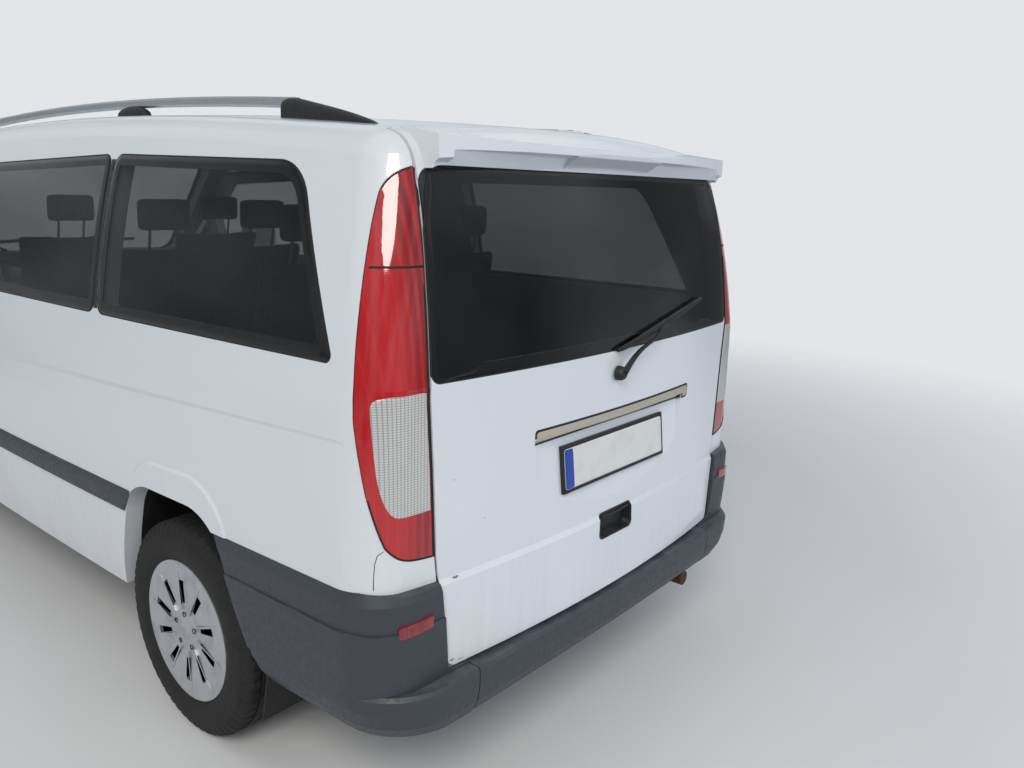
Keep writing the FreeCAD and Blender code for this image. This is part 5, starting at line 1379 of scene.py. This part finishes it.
class BUS_OT_tyres(bpy.types.Operator):
    """Mould the treaded tyres with their grooves, blocks, shoulder lugs and rim ribs"""
    bl_idname = "minibus.tyres"
    bl_label = "Tyres"

    def execute(self, context):
        depth = context.scene.minibus.groove_depth * 1000
        count = context.scene.minibus.tread_pitches * PITCH_STEPS

        def section(k):
            """The tyre's outline at one angle step, bead to bead."""
            part = k % PITCH_STEPS
            cut = part in (1, 2)
            side = []
            for off, radius in TYRE_HALF:
                lug = 4.0 if cut and radius > 299.0 else 0.0
                share = 1.0 if radius > 303 else 0.3
                side.append((off - lug * share * 0.5, radius - lug * share * 0.8))
            crown = []
            for off in TREAD_LINES:
                radius = TREAD_RADIUS - 1.4 * (off / TREAD_EDGE) ** 2
                if any(abs(off - middle) <= 3.7 for middle in GROOVES):
                    radius -= depth
                elif cut and abs(off) > 54.0:
                    radius -= depth * 0.75
                elif part == 3 and abs(off) < 50.0 and abs(abs(off) - 18.0) > 4.0:
                    radius -= depth * 0.35
                crown.append((off, radius))
            row = [(-off, radius) for off, radius in side] + crown + side[::-1]
            return [(off / 1000, radius / 1000) for off, radius in row]

        for name, (x, y) in WHEELS.items():
            tyre = turned("tread_tyre_" + name, section, Vector((x, y, AXLE_HEIGHT)), count)
            dress(tyre, "tyre_rubber", "wheel_" + name, 32)
            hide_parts("tyre_" + name)
            self.hub(name, x, 1 if y > 0 else -1)
        return {"FINISHED"}

    def hub(self, name, x, side):
        """The domed hub cap and its five bolt cups."""
        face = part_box("wheel_" + name)[1 if side > 0 else 0].y

        def dome(radius, rise, cosine, sine):
            radius = max(radius, 1e-5)
            return Vector((x + radius * cosine, face + side * rise, AXLE_HEIGHT + radius * sine))

        cap = outside(lofted("hub_cap_" + name, ringed(48, dome, HUB_RINGS), last=False))
        dress(cap, "silver_plastic", "wheel_" + name)
        for k in range(5):
            turn = math.radians(90 + 72 * k)
            middle = dome(0.053, -0.0055, math.cos(turn), math.sin(turn))

            def wall(radius, rise, cosine, sine):
                return middle + Vector((radius * cosine, side * (rise - 0.0020), radius * sine))

            cup = outside(lofted("bolt_cup_%s_%d" % (name, k), ringed(18, wall, BOLT_RINGS)))
            dress(cup, "trim_plastic", "wheel_" + name, 50)


# Cabin

PANELS = [
    # name, y from, y to, z from, z to, corner, rise in millimetres, look
    ("dial_panel", 0.235, 0.505, 1.005, 1.095, 0.035, 4.0, "trim_plastic"),
    ("centre_panel", -0.135, 0.135, 0.850, 1.085, 0.020, 6.0, "trim_plastic"),
    ("radio_blank", -0.100, 0.100, 0.995, 1.050, 0.006, 8.0, "dark_plastic"),
    ("tray_lid", -0.640, -0.240, 0.860, 0.960, 0.020, 5.0, "dark_plastic"),
    ("vent_left", 0.620, 0.740, 1.010, 1.075, 0.020, 5.0, "trim_plastic"),
    ("vent_right", -0.740, -0.620, 1.010, 1.075, 0.020, 5.0, "trim_plastic"),
]
DIALS = [
    # y, z, radius, look: two gauges and three knobs
    (0.315, 1.052, 0.036, "silver_plastic"), (0.425, 1.052, 0.036, "silver_plastic"),
    (-0.060, 0.925, 0.020, "dark_plastic"), (0.0, 0.925, 0.020, "dark_plastic"),
    (0.060, 0.925, 0.020, "dark_plastic"),
]
DIAL_RINGS = [(1.0, 0.004), (1.0, -0.004), (0.92, -0.006), (0.86, -0.003), (0.3, -0.003)]


class BUS_OT_dashboard(bpy.types.Operator):
    """Fit the dials, the centre panel, the vents and the tray of the dashboard"""
    bl_idname = "minibus.dashboard"
    bl_label = "Dashboard"

    def execute(self, context):
        skin, start = Skin("dashboard"), from_x(0.5)
        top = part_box("dashboard")[1].z - 0.03
        for name, y0, y1, z0, z1, corner, rise, look in PANELS:
            rows = held_in(spans_of(round_box(y0, y1, z0, min(z1, top), corner), 14), start, FORWARD, skin, 0.002)
            dress(patch(name, rows, start, FORWARD, skin, rise, 6.0, 24, 1.0), look, "root")
        for k, (y, z, radius, look) in enumerate(DIALS):
            face = skin.along(start(y, z), FORWARD)[0] + Vector((-0.006, 0, 0))

            def wall(share, rise, cosine, sine):
                return face + Vector((rise, radius * share * cosine, radius * share * sine))

            dial = outside(lofted("dial_%d" % k, ringed(32, wall, DIAL_RINGS)))
            dress(dial, look, "root", 40)
        return {"FINISHED"}


PLACE_WIDTH = 0.424
FORMS = {
    # part of a seat: length, width, thickness, crown, draw of the sides, corner
    "cushion": (0.500, PLACE_WIDTH, 0.098, 0.10, 0.020, 0.20),
    "back": (0.565, PLACE_WIDTH, 0.090, 0.10, 0.025, 0.20),
    "headrest": (0.128, 0.224, 0.072, 0.14, 0.030, 0.35),
}
ROUNDS = 20
SEATS = [
    # node, x of the cushion's rear edge, y of the middle of each place, width of a place
    ("seat_driver", 0.420, (0.370,), 0.490),
    ("seat_passenger", 0.420, (-0.370,), 0.490),
    ("bench_middle", -0.520, (-0.4265, 0.0, 0.4265), 0.424),
    ("bench_rear", -1.330, (-0.373, 0.0, 0.373), 0.370),
]
PLINTH_ROWS = [(0.562, 0.012), (0.570, 0.012), (0.574, 0.0), (0.640, -0.012), (0.760, -0.012), (0.812, 0.004),
               (0.820, 0.004)]


def cushion_form(name, long, wide, thick, crown, pull, corner):
    """A closed cushion lying along x: crowned on both faces, its sides drawn in between the corners."""
    work = bmesh.new()
    bmesh.ops.create_cube(work, size=2.0)
    bmesh.ops.subdivide_edges(work, edges=work.edges, cuts=15, use_grid_fill=True)
    for vert in work.verts:
        u, v, w = vert.co
        near_x, near_y = 1 - pull * (1 - v * v), 1 - pull * (1 - u * u)
        edge = max(abs(u), abs(v))
        fade = max(0.0, (edge - (1 - corner)) / corner)
        rise = (1 - crown * (0.5 * (u * u + v * v))) * math.sqrt(max(0.0, 1 - 0.75 * fade ** 2))
        draw = 1.0 - corner * 0.35 * (abs(w) ** 3) * (edge ** 4)
        vert.co = Vector((u * near_x * draw * long / 2, v * near_y * draw * wide / 2, w * rise * thick / 2))
    mesh = bpy.data.meshes.new(name)
    work.to_mesh(mesh)
    work.free()
    # Smaller all round, so that the swollen cover comes out at the full size
    mesh.transform(Matrix.Diagonal((0.985, 0.965, 0.94, 1.0)))
    made = bpy.data.objects.new(name, mesh)
    bpy.context.scene.collection.objects.link(made)
    return made


def applied(made, graph):
    """Keep the mesh that an object's modifiers give, and drop the modifiers."""
    mesh = bpy.data.meshes.new_from_object(made.evaluated_get(graph))
    made.modifiers.clear()
    made.data = mesh
    return mesh


def swollen(forms, sizes):
    """Blow the forms up as sewn covers over foam, all at once, and keep the resulting meshes."""
    scene = bpy.context.scene
    held = []
    for made in forms:
        skin = made.modifiers.new("skin", "REMESH")
        skin.mode, skin.voxel_size = "VOXEL", sizes.cushion_voxel
        mesh = applied(made, bpy.context.evaluated_depsgraph_get())
        held.append([v.co.copy() for v in mesh.vertices])
        cloth = made.modifiers.new("cover", "CLOTH")
        cloth.settings.use_pressure = True
        cloth.settings.uniform_pressure_force = sizes.cushion_pressure
        cloth.settings.quality = 5
        cloth.settings.effector_weights.gravity = 0.0
        cloth.collision_settings.use_collision = False
        cloth.point_cache.frame_start, cloth.point_cache.frame_end = 1, ROUNDS
    for step in range(1, ROUNDS + 1):
        scene.frame_set(step)
    graph = bpy.context.evaluated_depsgraph_get()
    for made, rest in zip(forms, held):
        mesh = applied(made, graph)
        for vert, before in zip(mesh.vertices, rest):
            move = vert.co - before
            if move.length > sizes.cushion_cap:
                vert.co = before + move.normalized() * sizes.cushion_cap
    scene.frame_set(1)
    for made in forms:
        made.modifiers.new("round", "SUBSURF").levels = 1
        applied(made, bpy.context.evaluated_depsgraph_get())


def sewn(made, lines, cross, depth):
    """Press sewn channels into the upper face of a form: at two given y, and between them at given x."""
    width = 0.010
    inner = min(abs(at) for at in lines)
    for vert in made.data.vertices:
        x, y, z = vert.co
        if z > 0:
            gaps = [y - at for at in lines] + [x - at for at in cross if abs(y) < inner]
            vert.co.z -= depth * max(math.exp(-(gap / width) ** 2) for gap in gaps)


def placed(form, name, matrix):
    """A padded cloth copy of a form, set in the model."""
    mesh = form.data.copy()
    mesh.name = name
    mesh.transform(matrix)
    made = bpy.data.objects.new(name, mesh)
    bpy.context.scene.collection.objects.link(made)
    dress(made, "woven_cloth", "root", 60)
    return made


def leaning(x, y, z, degrees):
    """A matrix that moves to a place and leans back there."""
    return Matrix.Translation((x, y, z)) @ Matrix.Rotation(math.radians(degrees), 4, "Y")


class BUS_OT_seats(bpy.types.Operator):
    """Sew the seat cushions, backs and headrests, with their plinths and posts"""
    bl_idname = "minibus.seats"
    bl_label = "Seats"

    def execute(self, context):
        sizes = context.scene.minibus
        forms = [cushion_form("form_" + name, *shape) for name, shape in FORMS.items()]
        cushion, back, rest = forms
        swollen(forms, sizes)
        sewn(cushion, (-0.135, 0.135), (-0.12, 0.02, 0.15), sizes.channel_depth)
        sewn(back, (-0.130, 0.130), (-0.16, -0.02, 0.12), sizes.channel_depth)
        upright = Matrix.Rotation(math.radians(-90), 4, "Y") @ Matrix.Rotation(math.pi, 4, "X")
        for node, x, places, wide in SEATS:
            across = Matrix.Diagonal((1.0, wide / PLACE_WIDTH * 0.985, 1.0, 1.0))
            for k, y in enumerate(places):
                label = "%s_%d" % (node, k)
                placed(cushion, "cushion_" + label, leaning(x + 0.258, y, 0.866, -3.0) @ across)
                placed(back, "back_" + label, leaning(x - 0.092, y, 1.148, -14.9) @ upright @ across)
                placed(rest, "headrest_" + label, leaning(x - 0.180, y, 1.527, -4.0) @ upright)
                for post in (-0.055, 0.055):
                    path = [(x - off, y + post, z) for off, z in ((0.150, 1.380), (0.168, 1.450), (0.178, 1.510))]
                    rod = tube("headrest_post_%s_%d" % (label, post > 0), path, 0.0055)
                    dress(rod, "anodised", "root", 60)
            self.plinth(node, x, places, wide)
            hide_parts(node)
        for form in forms:
            bpy.data.objects.remove(form)
        return {"FINISHED"}

    def plinth(self, node, x, places, wide):
        """The seat's pedestal: a waisted shell with a flange at its foot."""
        half = (max(places) - min(places)) / 2 + wide / 2 - 0.055
        middle = (min(places) + max(places)) / 2
        rows = []
        for z, out in PLINTH_ROWS:
            ring = round_box(x + 0.040 - out, x + 0.420 + out, middle - half - out, middle + half + out, 0.035)
            rows.append([(u, v, z) for u, v in ring])
        dress(outside(lofted("plinth_" + node, rows, first=True)), "dark_plastic", "root")


# Add-on

METRES = {"precision": 4, "unit": "LENGTH", "subtype": "DISTANCE"}
SHADE = {"min": 0.0, "max": 1.0, "size": 3, "subtype": "COLOR"}


class MinibusSizes(bpy.types.PropertyGroup):
    """Sizes and colours of the dressing that an artist may change before running the steps"""
    paint: bpy.props.FloatVectorProperty(name="Paint", description="Colour of the painted body panels",
                                         default=linear("#dfe4ea")[:3], **SHADE)
    bumper: bpy.props.FloatVectorProperty(name="Bumpers", description="Colour of the bumpers and rub strips",
                                          default=linear("#3a3f47")[:3], **SHADE)
    privacy: bpy.props.FloatProperty(name="Privacy glass", description="How dense the dark side and rear glass is",
                                     default=0.56, min=0.0, max=1.0, subtype="FACTOR")
    border_width: bpy.props.FloatProperty(name="Glass border", description="Width of the side panes' printed border",
                                          default=0.032, min=0.0, max=0.08, **METRES)
    strip_rise: bpy.props.FloatProperty(name="Rub strip rise", description="How far the rub strips stand proud",
                                        default=0.009, min=0.002, max=0.012, **METRES)
    groove_depth: bpy.props.FloatProperty(name="Groove depth", description="Depth of the tyres' main grooves",
                                          default=0.007, min=0.001, max=0.010, **METRES)
    tread_pitches: bpy.props.IntProperty(name="Tread pitches", description="Tread blocks round a tyre",
                                         default=60, min=24, max=96)
    cushion_voxel: bpy.props.FloatProperty(name="Cover mesh", description="Mesh size of the seat covers",
                                           default=0.016, min=0.004, max=0.04, **METRES)
    cushion_pressure: bpy.props.FloatProperty(name="Foam pressure", description="How far the foam fills its cover",
                                              default=4.0, min=0.0, max=12.0)
    cushion_cap: bpy.props.FloatProperty(name="Swelling limit", description="Furthest a point of a cover may move",
                                         default=0.012, min=0.0, max=0.03, **METRES)
    channel_depth: bpy.props.FloatProperty(name="Channel depth", description="Depth of the sewn channels",
                                           default=0.009, min=0.0, max=0.02, **METRES)


OPERATORS = [BUS_OT_finishes, BUS_OT_glass_borders, BUS_OT_window_posts, BUS_OT_rub_strips, BUS_OT_tail_lamps,
             BUS_OT_tailgate_trim, BUS_OT_seams_and_marks, BUS_OT_roof_rail_feet, BUS_OT_mirrors_and_handles,
             BUS_OT_front_lamps_and_wipers, BUS_OT_tyres, BUS_OT_dashboard, BUS_OT_seats, BUS_OT_stage]


class BUS_PT_panel(bpy.types.Panel):
    """Sidebar list of all steps"""
    bl_label = "Minibus"
    bl_idname = "BUS_PT_panel"
    bl_space_type = "VIEW_3D"
    bl_region_type = "UI"
    bl_category = "Minibus"

    def draw(self, context):
        for size in MinibusSizes.__annotations__:
            self.layout.prop(context.scene.minibus, size)
        for step in OPERATORS:
            self.layout.operator(step.bl_idname)


CLASSES = [MinibusSizes, *OPERATORS, BUS_PT_panel]


def register():
    for made in CLASSES:
        bpy.utils.register_class(made)
    bpy.types.Scene.minibus = bpy.props.PointerProperty(type=MinibusSizes)


def unregister():
    del bpy.types.Scene.minibus
    for made in reversed(CLASSES):
        bpy.utils.unregister_class(made)


def main():
    register()
    for step in OPERATORS:
        family, name = step.bl_idname.split(".")
        if getattr(getattr(bpy.ops, family), name)() != {"FINISHED"}:
            raise RuntimeError("step not finished: " + step.bl_idname)


if __name__ == "__main__":
    main()
